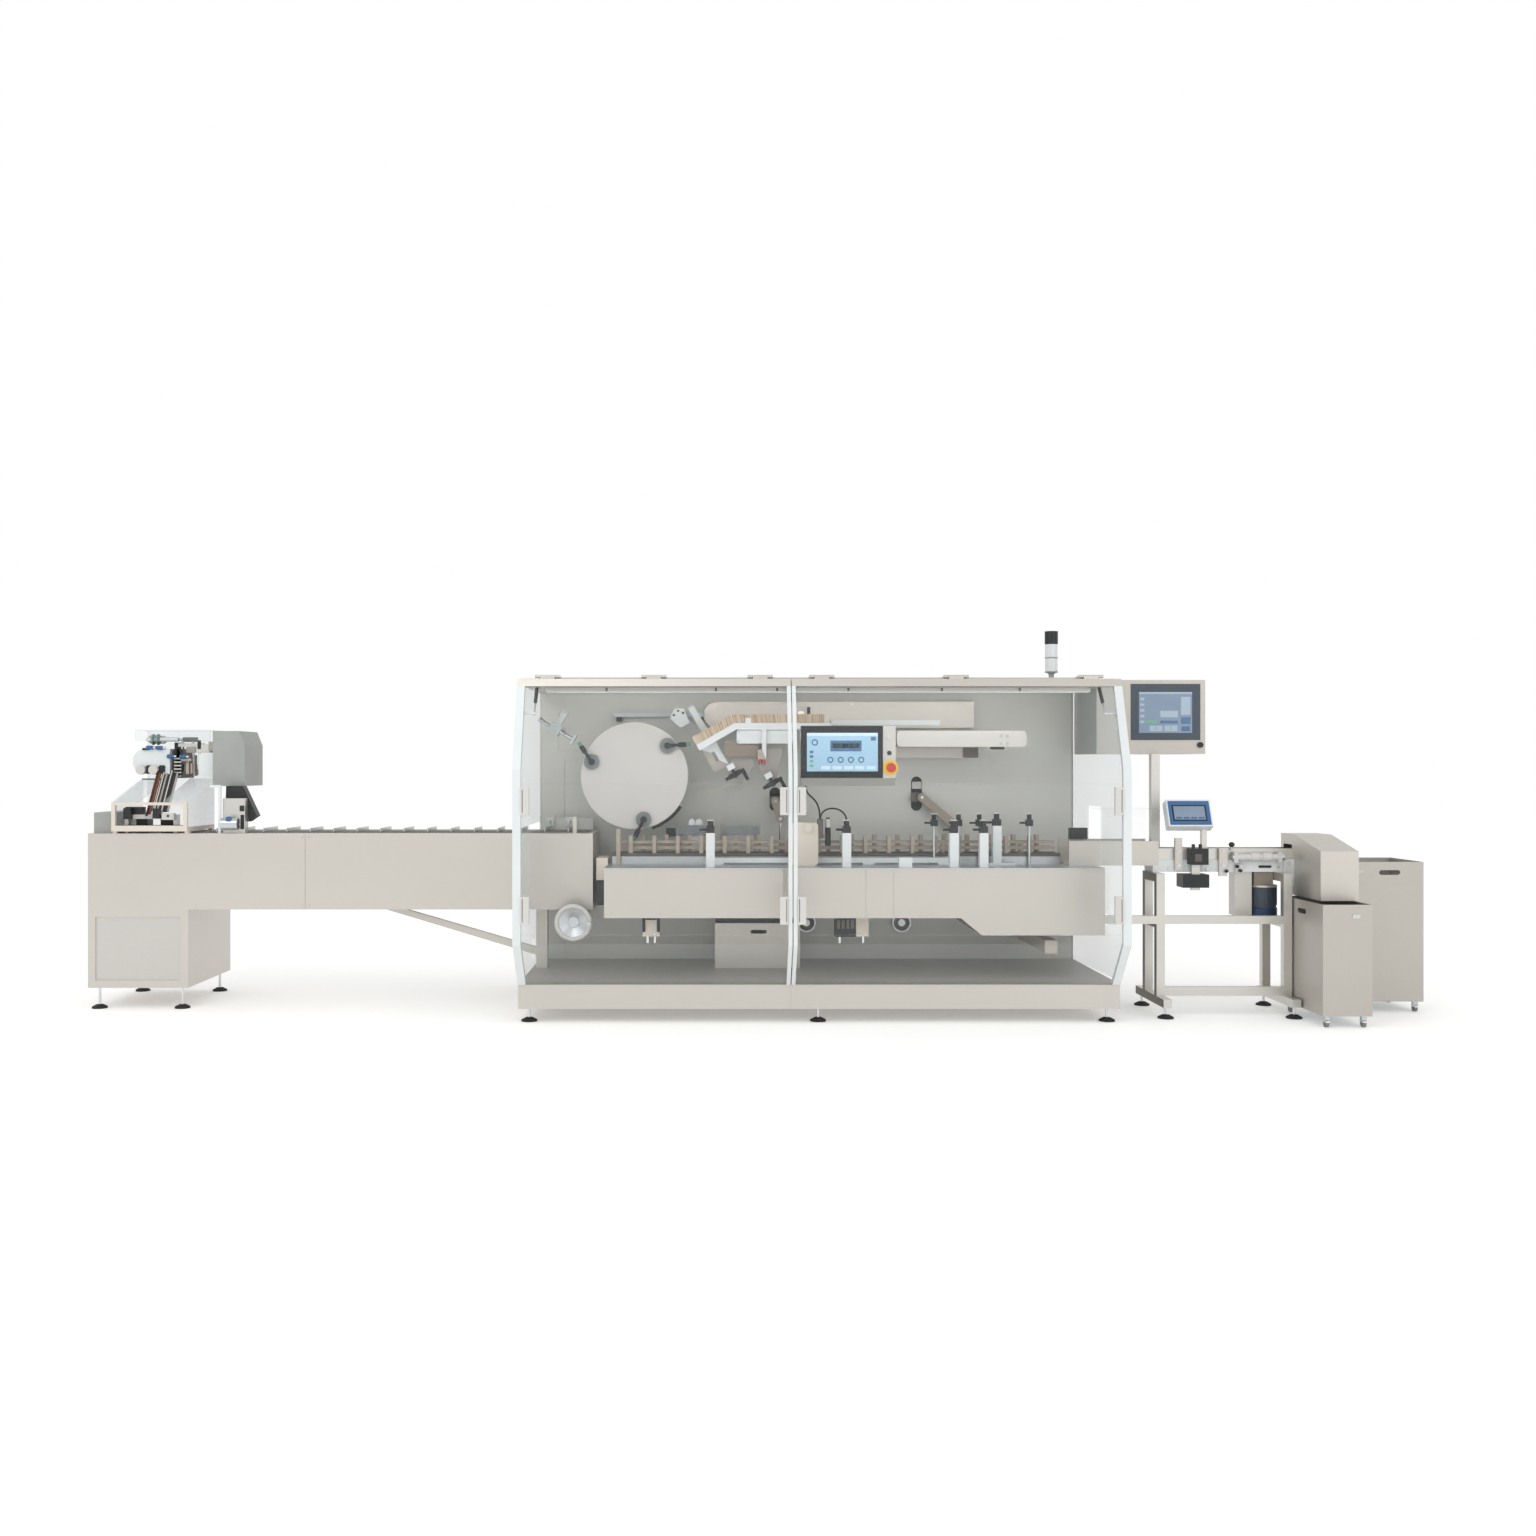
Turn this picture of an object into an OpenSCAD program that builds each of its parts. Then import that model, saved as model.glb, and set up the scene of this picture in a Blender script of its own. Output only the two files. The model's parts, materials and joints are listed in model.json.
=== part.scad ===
// Automatic cartoner with a product infeed, a rotary carton feeder and a reject outfeed.
// X runs along the line from infeed to outfeed, Y to the back and Z up, in millimetres.
// The origin is under the middle front levelling foot.

/* [Base cabinet] */
// Length of the base cabinet
base_l = 3000; // [2900:10:3200]
// Height of the base skirt
base_h = 120; // [90:5:150]
// Height of the skirt above the floor
foot_h = 70; // [50:1:90]
// Diameter of a foot pad
pad_d = 80; // [60:1:110]
// Diameter of a foot stem
stem_d = 14; // [10:1:20]
// Distance of the feet from the skirt's edges
foot_inset = 60; // [50:1:90]
// Depth of the guarded chamber
chamber_d = 970; // [950:5:1050]
// Thickness of the back wall
wall_t = 30; // [20:1:40]
// Depth of the drive housing behind the wall
drive_d = 320; // [250:5:450]
// Height of the ceiling above the floor
ceiling_z = 1690; // [1660:5:1760]
// Thickness of the roof
roof_t = 32; // [25:1:45]
// Thickness of the deck sheet
deck_t = 5; // [3:1:8]
// Place along X where the two doors meet
split_x = -140; // [-200:10:0]

/* [Doors] */
// Thickness of the clear sheet
glass_t = 6; // [4:1:8]
// Thickness of the edge profile in front of the sheet
edge_t = 14; // [10:1:20]
// Width of the outer edge profiles
edge_w = 40; // [30:1:60]
// Width of the edge profiles where the doors meet
meet_w = 19; // [15:1:25]
// How far the upright middle of the door stands in front of the skirt
bulge = 195; // [150:5:230]
// Height where the upper slope ends
bend_high_z = 1262; // [1200:5:1320]
// Height where the lower slope starts
bend_low_z = 415; // [380:5:460]
// Gap between the two doors
door_gap = 6; // [5:1:12]
// Height of a pull handle
handle_h = 135; // [100:5:170]
// Width of a pull handle
handle_w = 40; // [30:1:55]
// Length of a hinge
hinge_l = 125; // [100:1:160]
// Diameter of a hinge knuckle
knuckle_d = 16; // [14:1:20]
// Diameter of a hinge pin
pin_d = 8; // [6:1:10]

/* [Gas struts] */
// Diameter of a strut cylinder
strut_d = 18; // [14:1:22]
// Diameter of a strut rod
rod_d = 8; // [6:1:10]
// Length of a strut cylinder from its eye
strut_l = 115; // [108:1:125]
// Distance of a strut from the outer end of its door
strut_in = 88; // [80:1:100]

/* [Transport] */
// Distance of the housing's left end from the cabinet's left end
housing_left = 417; // [400:1:440]
// Distance of the housing's right end from the cabinet's right end
housing_right = 30; // [20:1:60]
// Setback of the housing's front from the skirt
housing_in = 170; // [150:5:200]
// Height of the transport table's top
table_z = 761; // [740:1:780]
// Thickness of the table sheet
table_t = 6; // [4:1:10]
// Height of the housing's underside
housing_z0 = 505; // [480:1:530]
// Height of the deep right part's underside
deep_z0 = 417; // [400:1:440]
// Pitch of the carton lugs
lug_pitch = 125; // [110:1:140]
// Thickness of a lug
lug_t = 20; // [12:1:24]
// Height of a lug's top
lug_z = 909; // [890:1:920]
// Top of the chain bed
bed_z = 817; // [800:1:825]
// Side of an adjuster post
post_s = 45; // [35:1:55]
// Height of an adjuster post
post_h = 175; // [150:1:200]

/* [Rotary feeder] */
// Distance of the rotor axis from the cabinet's left end
rotor_left = 549; // [540:1:560]
// Height of the rotor axis
rotor_z = 1228; // [1220:1:1260]
// Radius of the rotor disc
rotor_r = 290; // [270:1:295]
// Radius of the planet pivots
planet_r = 241; // [225:1:245]
// Reach of a suction arm from its pivot
arm_reach = 125; // [110:1:130]
// Setback of the disc's front face
rotor_in = 612; // [605:1:620]
// Diameter of the rotor shaft
rotor_shaft_d = 60; // [40:1:80]
// Diameter of a planet shaft
planet_shaft_d = 24; // [18:1:30]
// Angle of the first arm's pivot on the disc
arm_turn = 42; // [30:1:60]

/* [Magazine] */
// Slope of the magazine's lower end
magazine_tilt = 30; // [25:1:35]
// Length of the sloping end
slope_l = 237; // [200:1:260]
// Length of the level run
level_l = 520; // [450:10:560]
// Height of a carton flat across the chute
carton_h = 76; // [60:1:90]
// Length of a carton flat along Y
carton_w = 165; // [140:1:180]
// Diameter of an adjusting crank
crank_d = 114; // [90:1:130]

/* [Handwheel] */
// Distance of the handwheel from the cabinet's left end
wheel_left = 248; // [230:1:260]
// Diameter of the handwheel
wheel_d = 195; // [160:1:210]
// Diameter of its shaft
wheel_shaft_d = 25; // [20:1:30]

/* [Infeed] */
// Length of the infeed beam
infeed_l = 2658; // [2500:1:2800]
// How far the beam reaches into the cabinet
infeed_reach = 340; // [320:1:350]
// Gap between the beam and the back wall
infeed_gap = 50; // [40:1:80]
// Depth of the infeed beam
infeed_d = 500; // [450:5:520]
// Height of the beam's underside
infeed_z0 = 525; // [515:1:540]
// Height of the beam's top
infeed_z1 = 925; // [900:1:940]
// Length of the cabinet under the beam
cabinet_l = 528; // [450:1:600]
// Depth of the cabinet under the beam
cabinet_d = 690; // [600:5:750]
// Height of the cabinet's underside
cabinet_z0 = 112; // [90:1:130]
// Pitch of the buckets
bucket_pitch = 125; // [110:1:140]

/* [Outfeed] */
// Distance of the outfeed conveyor from the cabinet's right end
conveyor_gap = 268; // [240:1:290]
// Length of the outfeed conveyor
conveyor_l = 732; // [700:1:760]
// Height of the conveyor's underside
conveyor_z0 = 728; // [710:1:740]
// Height of the conveyor's top
conveyor_z1 = 850; // [830:1:870]
// Width of a stand post
post_w = 43; // [35:1:50]
// Sheet thickness of the bins and the hood
sheet_t = 4; // [3:1:6]

/* [Fits] */
// Radial clearance of shafts and pins in their bores
fit = 0.3; // [0.2:0.1:0.6]
// Running clearance between moving pieces
run = 6; // [5:1:8]

/* [Hidden] */
$fn = 48;
front_y = -foot_inset;
deck_z = foot_h + base_h + deck_t;
base_z1 = foot_h + base_h;
half_l = base_l / 2;
wall_y = front_y + chamber_d;
drive_y = wall_y + wall_t;
rear_y = drive_y + drive_d;
roof_z = ceiling_z + roof_t;
stem_in = 40;

// Depth from the skirt's front plane to a place along Y
function at(depth) = front_y + depth;

// Door section from its top edge to its bottom edge, on the outer face of the sheet, as Y and Z
hinge_out = 14;
door_top = [at(-hinge_out), roof_z - hinge_out];
door_line = [door_top, [at(-bulge), bend_high_z], [at(-bulge), bend_low_z], [at(0), deck_z + run]];
hinge_y = at(-hinge_out);
hinge_z = roof_z + 4;
flange_t = 4;
panel_t = 8;

function unit(v) = v / norm(v);
function outward(a, b) = let (d = unit(b - a)) [d[1], -d[0]];
function shifted_point(p, i, k) =
    let (n1 = outward(p[max(i - 1, 0)], p[max(i, 1)]),
         n2 = outward(p[min(i, len(p) - 2)], p[min(i + 1, len(p) - 1)]))
    p[i] + k * (n1 + n2) / (1 + n1 * n2);
function shifted(p, k) = [for (i = [0:len(p) - 1]) shifted_point(p, i, k)];
function reversed(p) = [for (i = [len(p) - 1:-1:0]) p[i]];
function band(p, k0, k1) = concat(shifted(p, k0), reversed(shifted(p, k1)));

// Gas strut: pivot on the roof and pivot on the closed door, as Y and Z
strut_top = [at(70), ceiling_z - 6];
strut_foot = [at(-55), ceiling_z - 150];
strut_closed = norm(strut_foot - strut_top);
strut_lean = atan2(strut_top[0] - strut_foot[0], strut_top[1] - strut_foot[1]);
rod_l = strut_closed - 18;
eye_d = 20;
eye_w = 12;
notch_w = strut_in + 17;
notch_d = 100;

// Places of the hinges along X for each door
hinge_in = 150;
left_door_x = [-half_l, split_x - door_gap / 2];
right_door_x = [split_x + door_gap / 2, half_l];
function hinge_places(x) = [x[0] + hinge_in, (x[0] + x[1]) / 2, x[1] - hinge_in];

// Ends of the groups along X
rotor_x = -half_l + rotor_left;
wheel_x = -half_l + wheel_left;
housing_x = [-half_l + housing_left, half_l - housing_right];
infeed_x1 = -half_l + infeed_reach;
infeed_x0 = infeed_x1 - infeed_l;
infeed_in = chamber_d - infeed_gap - infeed_d;
conveyor_x = [half_l + conveyor_gap, half_l + conveyor_gap + conveyor_l];

// Depth from the beam's front plane to a place along Y
function on_beam(depth) = at(infeed_in + depth);

// Magazine path from the pick face, as X and Z; the middle of the flats lies a little below the cups
pick_turn = 29.3;
pick_gap = 6;
pick_drop = 12;
pick_r = planet_r + arm_reach + pick_gap;
slope_way = [cos(magazine_tilt), sin(magazine_tilt)];
slope_up = [-sin(magazine_tilt), cos(magazine_tilt)];
pick = [rotor_x, rotor_z] + pick_r * [cos(pick_turn), sin(pick_turn)] - pick_drop * slope_up;
bend = pick + slope_l * slope_way;
level_end = bend + [level_l, 0];
magazine_in = 590;
magazine_y = [at(magazine_in) - carton_w / 2, at(magazine_in) + carton_w / 2];
chute_t = 6;

// Cable along a curve of four guide points, as rings of points about its middle line
cable_sides = 10;
cable_steps = 14;
function curve(p, t) = pow(1 - t, 3) * p[0] + 3 * t * pow(1 - t, 2) * p[1]
    + 3 * t * t * (1 - t) * p[2] + pow(t, 3) * p[3];
function heading(p, t) = unit(pow(1 - t, 2) * (p[1] - p[0]) + 2 * t * (1 - t) * (p[2] - p[1])
    + t * t * (p[3] - p[2]));
function ring(p, t, d) =
    let (h = heading(p, t), a = unit(cross(h, [0, 1, 0])), b = cross(a, h))
    [for (k = [0:cable_sides - 1]) let (turn = 360 * k / cable_sides)
        curve(p, t) + d / 2 * (cos(turn) * a + sin(turn) * b)];

// Shared shapes

module block(x, y, z)
    translate([x[0], y[0], z[0]]) cube([x[1] - x[0], y[1] - y[0], z[1] - z[0]]);

function span(mid, w) = [mid - w / 2, mid + w / 2];

// Outline in Y and Z, drawn out along X
module along_x(points, x)
    translate([x[0], 0, 0]) rotate([90, 0, 90]) linear_extrude(x[1] - x[0]) polygon(points);

// Outline in X and Z, drawn out along Y
module along_y(points, y)
    translate([0, y[1], 0]) rotate([90, 0, 0]) linear_extrude(y[1] - y[0]) polygon(points);

module rod_y(x, z, y, d)
    translate([x, y[1], z]) rotate([90, 0, 0]) cylinder(d = d, h = y[1] - y[0]);

module rod_x(y, z, x, d)
    translate([x[0], y, z]) rotate([0, 90, 0]) cylinder(d = d, h = x[1] - x[0]);

module rod_z(x, y, z, d)
    translate([x, y, z[0]]) cylinder(d = d, h = z[1] - z[0]);

// Upright round-ended slot through a wall across Y
module oblong_y(x, y, z, w) {
    rod_y(x, z[0] + w / 2, y, w);
    rod_y(x, z[1] - w / 2, y, w);
    block([x - w / 2, x + w / 2], y, [z[0] + w / 2, z[1] - w / 2]);
}

// Level round-ended slot through a wall across Y
module level_slot_y(x, y, z, w) {
    for (end = [x[0] + w / 2, x[1] - w / 2]) rod_y(end, z, y, w);
    block([x[0] + w / 2, x[1] - w / 2], y, [z - w / 2, z + w / 2]);
}

// Level round-ended slot through a wall across X
module level_slot_x(x, y, z, w) {
    for (end = [y[0] + w / 2, y[1] - w / 2]) rod_x(end, z, x, w);
    block(x, [y[0] + w / 2, y[1] - w / 2], [z - w / 2, z + w / 2]);
}

// Box with four round edges along Y
module rounded_y(x, y, z, r) {
    block([x[0] + r, x[1] - r], y, z);
    block(x, y, [z[0] + r, z[1] - r]);
    for (cx = [x[0] + r, x[1] - r], cz = [z[0] + r, z[1] - r]) rod_y(cx, cz, y, 2 * r);
}

// Flat bar with round ends between two places in X and Z
module link_y(a, b, w, y) {
    side = w / 2 * outward(a, b);
    along_y([a + side, b + side, b - side, a - side], y);
    for (end = [a, b]) rod_y(end[0], end[1], y, w);
}

module cable(p, d) {
    n = cable_sides;
    rings = [for (i = [0:cable_steps]) each ring(p, i / cable_steps, d)];
    polyhedron(rings, concat(
        [[for (k = [0:n - 1]) k]],
        [for (i = [0:cable_steps - 1], k = [0:n - 1])
            [i * n + k, (i + 1) * n + k, (i + 1) * n + (k + 1) % n, i * n + (k + 1) % n]],
        [[for (k = [n - 1:-1:0]) cable_steps * n + k]]));
}

module levelling_foot(x, y, top) {
    rim_h = 8;
    dome_h = 14;
    translate([x, y, 0]) {
        cylinder(d = pad_d, h = rim_h);
        translate([0, 0, rim_h]) cylinder(d1 = pad_d, d2 = 2 * stem_d, h = dome_h);
        cylinder(d = stem_d, h = top);
    }
}

// Base cabinet

foot_end = 50;
foot_xs = [-half_l + foot_end, 0, half_l - foot_end];
foot_ys = [0, rear_y - foot_inset];
seam_w = 3;

module base_skirt() color("#d3cec7") difference() {
    block([-half_l, half_l], [front_y, rear_y], [foot_h, base_z1]);
    block(span(split_x, seam_w), [front_y - 1, front_y + seam_w], [foot_h - 1, base_z1 + 1]);
    for (x = foot_xs, y = foot_ys)
        rod_z(x, y, [foot_h - 1, foot_h + stem_in + 1], stem_d + 2 * fit);
}

module levelling_feet() color("#2a2a2a") {
    for (x = foot_xs, y = foot_ys) levelling_foot(x, y, foot_h + stem_in);
    for (x = cabinet_foot_xs, y = cabinet_foot_ys) levelling_foot(x, y, cabinet_z0);
    for (x = stand_xs, y = stand_foot_ys) levelling_foot(x + post_w / 2, y, stand_z0);
}

deck_edge = 4;

module deck_pan() color("#8a8984")
    block([-half_l, half_l], [at(deck_edge), wall_y], [base_z1, deck_z]);

wall_slots = [[-178, 1027, 1160], [619, 1027, 1221]];
slot_w = 62;
flange_d = 150;
flange_h = 40;
boss_places = [[-3, 400], [532, 400]];
boss_d = 106;
boss_h = 30;
boss_hub_d = 40;
panel_seam = 4;
panel_outlines = [[[-1395, -601], [1365, 1575]], [[-1361, -450], [937, 1314]], [[-1361, -527], [205, 424]]];

// Groove around a service panel in the wall's front face
module panel_groove(x, z) {
    y = [wall_y - 1, wall_y + panel_seam];
    for (cx = x) block(span(cx, panel_seam), y, z);
    for (cz = z) block([x[0] - panel_seam / 2, x[1] + panel_seam / 2], y, span(cz, panel_seam));
}

// Round cover with a sunk ring and a hub in its middle
module wall_boss(x, z) difference() {
    rod_y(x, z, [wall_y - boss_h, wall_y + 1], boss_d);
    difference() {
        rod_y(x, z, [wall_y - boss_h - 1, wall_y - boss_h / 2], boss_d - 16);
        rod_y(x, z, [wall_y - boss_h - 2, wall_y], boss_hub_d);
    }
}

module back_wall() color("#afb0aa") difference() {
    union() {
        block([-half_l, half_l], [wall_y, drive_y], [base_z1, ceiling_z]);
        rod_y(rotor_x, rotor_z, [wall_y - flange_h, wall_y + 1], flange_d);
        rod_y(wheel_x, wheel_z, [wall_y - flange_h, wall_y + 1], 2.4 * wheel_shaft_d);
        for (b = boss_places) wall_boss(b[0], b[1]);
    }
    for (s = wall_slots) oblong_y(s[0], [wall_y - 1, drive_y + 1], [s[1], s[2]], slot_w);
    for (p = panel_outlines) panel_groove(p[0], p[1]);
    rod_y(rotor_x, rotor_z, [wall_y - flange_h - 1, drive_y + 1], rotor_shaft_d + 2 * fit);
    rod_y(wheel_x, wheel_z, [wall_y - flange_h - 1, drive_y + 1], wheel_shaft_d + 2 * fit);
}

rear_doors = 4;
rear_gap = 12;
rear_recess = 8;
rear_edge = 40;

module rear_housing() color("#cfcac2") difference() {
    block([-half_l, half_l], [drive_y, rear_y], [base_z1, ceiling_z]);
    door_l = base_l / rear_doors;
    for (i = [0:rear_doors]) {
        x = -half_l + i * door_l;
        block([x - rear_gap / 2, x + rear_gap / 2], [rear_y - rear_recess, rear_y + 1],
              [base_z1 + rear_edge, ceiling_z - rear_edge]);
    }
    for (z = [base_z1 + rear_edge, ceiling_z - rear_edge - rear_gap])
        block([-half_l - 1, half_l + 1], [rear_y - rear_recess, rear_y + 1], [z, z + rear_gap]);
}

fascia_t = 30;
fascia_drop = 13;

module roof() color("#d6d2cc") difference() {
    union() {
        block([-half_l, half_l], [front_y, rear_y], [ceiling_z, roof_z]);
        block([-half_l + notch_w, half_l - notch_w], [front_y, front_y + fascia_t],
              [ceiling_z - fascia_drop, ceiling_z + 1]);
    }
    for (s = [-1, 1])
        translate([s * (half_l - notch_w / 2), front_y, 0])
            block([-notch_w / 2 - (s < 0 ? 1 : 0), notch_w / 2 + (s > 0 ? 1 : 0)], [-1, notch_d],
                  [ceiling_z - 1, roof_z + 1]);
}

lamp_y = [at(45), at(105)];
lamp_h = 24;
lamp_drop = 14;
lamp_end = 30;
clip_l = 60;

module roof_light() color("#e8ecee") {
    reach = half_l - notch_w - lamp_end;
    top = ceiling_z - lamp_drop;
    block([-reach, reach], lamp_y, [top - lamp_h, top]);
    for (x = [-reach + clip_l, split_x, reach - clip_l])
        block([x - clip_l / 2, x + clip_l / 2], [lamp_y[0] + clip_l / 4, lamp_y[1] - clip_l / 4],
              [top - 1, ceiling_z]);
}

// Clear side panels inside the door's section

panel_line = concat([[wall_y, deck_z], [wall_y, ceiling_z], [at(notch_d), ceiling_z]],
    [for (i = [0:3]) let (p = shifted(door_line, -(glass_t + flange_t + run))[i])
        [max(p[0], at(-bulge)), max(min(p[1], ceiling_z - 20), deck_z)]]);
beam_gap = 10;
brace_in = 180;
brace_s = 40;
brace_y = [on_beam(brace_in), on_beam(brace_in) + brace_s];

module left_side_panel() color("#dfe8e8", 0.4) difference() {
    along_x(panel_line, [-half_l, -half_l + panel_t]);
    block([-half_l - 1, -half_l + panel_t + 1],
          [on_beam(0) - beam_gap, on_beam(infeed_d) + beam_gap],
          [infeed_z0 - beam_gap, infeed_z1 + 45]);
    block([-half_l - 1, -half_l + panel_t + 1], [brace_y[0] - beam_gap, brace_y[1] + beam_gap],
          [brace_end_z - brace_s, brace_end_z + 2 * brace_s + beam_gap]);
}

module right_side_panel() color("#dfe8e8", 0.4) difference() {
    x = [half_l - panel_t, half_l];
    along_x(panel_line, x);
    block([x[0] - 1, x[1] + 1], [trough_y[0] - beam_gap, trough_y[1] + beam_gap],
          [table_z, cover_z + beam_gap]);
    block([x[0] - 1, x[1] + 1], [stand_front - beam_gap, stand_front + post_w + beam_gap],
          [rail_zs[0][0] - beam_gap, rail_zs[0][1] + beam_gap]);
}

// Hinges on the roof edge, and the pins that carry the gas struts

hinge_end = 25;
leaf_t = 4;
axial = 1;
plate_t = 5;
plate_w = 50;
pin_plate = 32;

module hinge_plate(x) {
    block([x - hinge_l / 2, x + hinge_l / 2], [at(-2), at(plate_w)], [roof_z, roof_z + plate_t]);
    for (s = [-1, 1]) {
        inner = hinge_l / 2 - hinge_end;
        ends = s < 0 ? [x - hinge_l / 2, x - inner] : [x + inner, x + hinge_l / 2];
        rod_x(hinge_y, hinge_z, ends, knuckle_d);
        block(ends, [hinge_y, at(0)], [hinge_z - 2, roof_z + plate_t]);
    }
    rod_x(hinge_y, hinge_z, [x - hinge_l / 2, x + hinge_l / 2], pin_d);
}

module strut_pin(side) {
    face = half_l - notch_w;
    tip = half_l - strut_in + eye_w / 2 + 3;
    mirror([side < 0 ? 1 : 0, 0, 0]) {
        block([face, face + flange_t], [strut_top[0] - pin_plate / 2, strut_top[0] + pin_plate / 2],
              [strut_top[1] - pin_plate / 2, roof_z - 2]);
        rod_x(strut_top[0], strut_top[1], [face, tip], pin_d);
    }
}

module roof_brackets() color("#b9bcbe") {
    for (x = concat(hinge_places(left_door_x), hinge_places(right_door_x))) hinge_plate(x);
    for (side = [-1, 1]) strut_pin(side);
}

// Doors: a bent clear sheet in edge profiles, hung on a top rail

edge_lip = 4;

// Edge profile that grips the sheet; lip is -1 when the closed side faces -X
module edge_profile(x, lip) difference() {
    along_x(band(door_line, -glass_t - flange_t, edge_t), x);
    pocket = lip < 0 ? [x[0] + edge_lip, x[1] + 1] : [x[0] - 1, x[1] - edge_lip];
    along_x(band(door_line, -glass_t, 0), pocket);
}

rail_h = 40;

module top_rail(x) {
    foot = door_top + rail_h * unit(door_line[1] - door_top);
    along_x(band([door_top, foot], 0, edge_t), x);
}

module door_knuckle(x) {
    reach = hinge_l / 2 - hinge_end - axial;
    difference() {
        union() {
            rod_x(hinge_y, hinge_z, [x - reach, x + reach], knuckle_d);
            block([x - reach, x + reach], [hinge_y - knuckle_d / 2 - leaf_t, hinge_y],
                  [door_top[1] + fit, hinge_z]);
        }
        rod_x(hinge_y, hinge_z, [x - reach - 1, x + reach + 1], pin_d + 2 * fit);
    }
}

stud_arm = 20;
stud_gap = 0.5;

// Bracket and stud that take the strut rod, on the inner flange of the outer profile
module strut_stud(x, side) {
    inner = side < 0 ? x[0] + edge_w : x[1] - edge_w;
    eye_face = side < 0 ? -half_l + strut_in - eye_w / 2 : half_l - strut_in + eye_w / 2;
    way = unit(door_line[1] - door_top);
    along = (strut_foot - door_top) * way;
    depth = (strut_foot - door_top) * outward(door_top, door_line[1]);
    arm = side < 0 ? [inner - stud_arm, inner] : [inner, inner + stud_arm];
    ends = [door_top + (along - stud_arm / 2) * way, door_top + (along + stud_arm / 2) * way];
    along_x(band(ends, -glass_t - flange_t / 2, depth - pin_d), arm);
    stud = side < 0 ? [inner - 1, eye_face - stud_gap] : [eye_face + stud_gap, inner + 1];
    rod_x(strut_foot[0], strut_foot[1], stud, pin_d);
}

module door_frame(x, side) color("#eef0f0") {
    left_w = side < 0 ? edge_w : meet_w;
    right_w = side < 0 ? meet_w : edge_w;
    edge_profile([x[0], x[0] + left_w], -1);
    edge_profile([x[1] - right_w, x[1]], 1);
    top_rail(x);
    for (h = hinge_places(x)) door_knuckle(h);
    strut_stud(x, side);
}

module door_glass(x) color("#e4eeee", 0.3)
    along_x(band(door_line, -glass_t, 0), [x[0] + edge_lip, x[1] - edge_lip]);

handle_t = 22;
handle_zs = [1043, 513];
finger_w = 4;
finger_in = 6;
finger_d = 16;
finger_end = 12;

module pull_handle(x, toward) {
    face = at(-bulge);
    for (z = handle_zs) difference() {
        block([x, x + handle_w], [face - handle_t, face], [z, z + handle_h]);
        slot_x = toward < 0 ? x + finger_in : x + handle_w - finger_in - finger_w;
        block([slot_x, slot_x + finger_w], [face - handle_t - 1, face - handle_t + finger_d],
              [z + finger_end, z + handle_h - finger_end]);
    }
}

module door_handles(x, side) color("#f2f2f0") {
    left_w = side < 0 ? edge_w : meet_w;
    right_w = side < 0 ? meet_w : edge_w;
    pull_handle(x[0] + left_w + 1, -1);
    pull_handle(x[1] - right_w - handle_w - 1, 1);
}

module left_door_glass() door_glass(left_door_x);
module left_door_frame() door_frame(left_door_x, -1);
module left_door_handles() door_handles(left_door_x, -1);
module right_door_glass() door_glass(right_door_x);
module right_door_frame() door_frame(right_door_x, 1);
module right_door_handles() door_handles(right_door_x, 1);

// Gas struts: the cylinder hangs on the roof pin, the rod reaches the stud on the door

module on_strut(side)
    translate([side * (half_l - strut_in), strut_top[0], strut_top[1]])
        rotate([-strut_lean, 0, 0]) children();

module strut_cylinder(side) color("#202020") on_strut(side) difference() {
    union() {
        translate([0, 0, -strut_l]) cylinder(d = strut_d, h = strut_l - eye_d / 2 + 2);
        translate([-eye_w / 2, 0, 0]) rotate([0, 90, 0]) cylinder(d = eye_d, h = eye_w);
    }
    translate([-eye_w / 2 - 1, 0, 0]) rotate([0, 90, 0]) cylinder(d = pin_d + 2 * fit, h = eye_w + 2);
    translate([0, 0, -strut_l - 1]) cylinder(d = rod_d + 2 * fit, h = strut_l - eye_d / 2 - 4);
}

module strut_rod(side) color("#c0c4c6") on_strut(side) {
    translate([0, 0, -strut_closed]) cylinder(d = rod_d, h = rod_l);
    translate([-eye_w / 2, 0, -strut_closed]) rotate([0, 90, 0]) cylinder(d = eye_d - 4, h = eye_w);
}

module left_strut_cylinder() strut_cylinder(-1);
module left_strut_rod() strut_rod(-1);
module right_strut_cylinder() strut_cylinder(1);
module right_strut_rod() strut_rod(1);

// Transport: housing, table, lugged chain and its guides

deep_x = [736, 843];
recess_x = [split_x - 31, split_x + 40];
recess_d = 60;
seam_xs = [252, 393];

module transport_housing() color("#cdc7bd") difference() {
    along_y([[housing_x[0], table_z - table_t], [housing_x[1], table_z - table_t], [housing_x[1], deep_z0],
             [deep_x[1], deep_z0], [deep_x[0], housing_z0], [housing_x[0], housing_z0]],
            [at(housing_in), wall_y]);
    block(recess_x, [at(housing_in) - 1, at(housing_in + recess_d)], [housing_z0 - 1, table_z]);
    for (x = seam_xs)
        block([x - seam_w / 2, x + seam_w / 2], [at(housing_in) - 1, at(housing_in) + seam_w],
              [deep_z0 - 1, table_z]);
}

lug_w = 40;
row_gap = 77;
lug_front = [at(505), at(505) + lug_w];
lug_rear = [lug_front[1] + row_gap, lug_front[1] + row_gap + lug_w];
chain_end = 150;
chain_x = [housing_x[0] + 20, housing_x[1] - chain_end];
first_lug = 88;
link_h = 18;
table_lip = 5;

module transport_table() color("#c9cccd") {
    block(housing_x, [at(housing_in - table_lip), wall_y], [table_z - table_t, table_z]);
    block(chain_x, [lug_front[0], lug_rear[1]], [table_z - 1, bed_z - link_h]);
}

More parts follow.
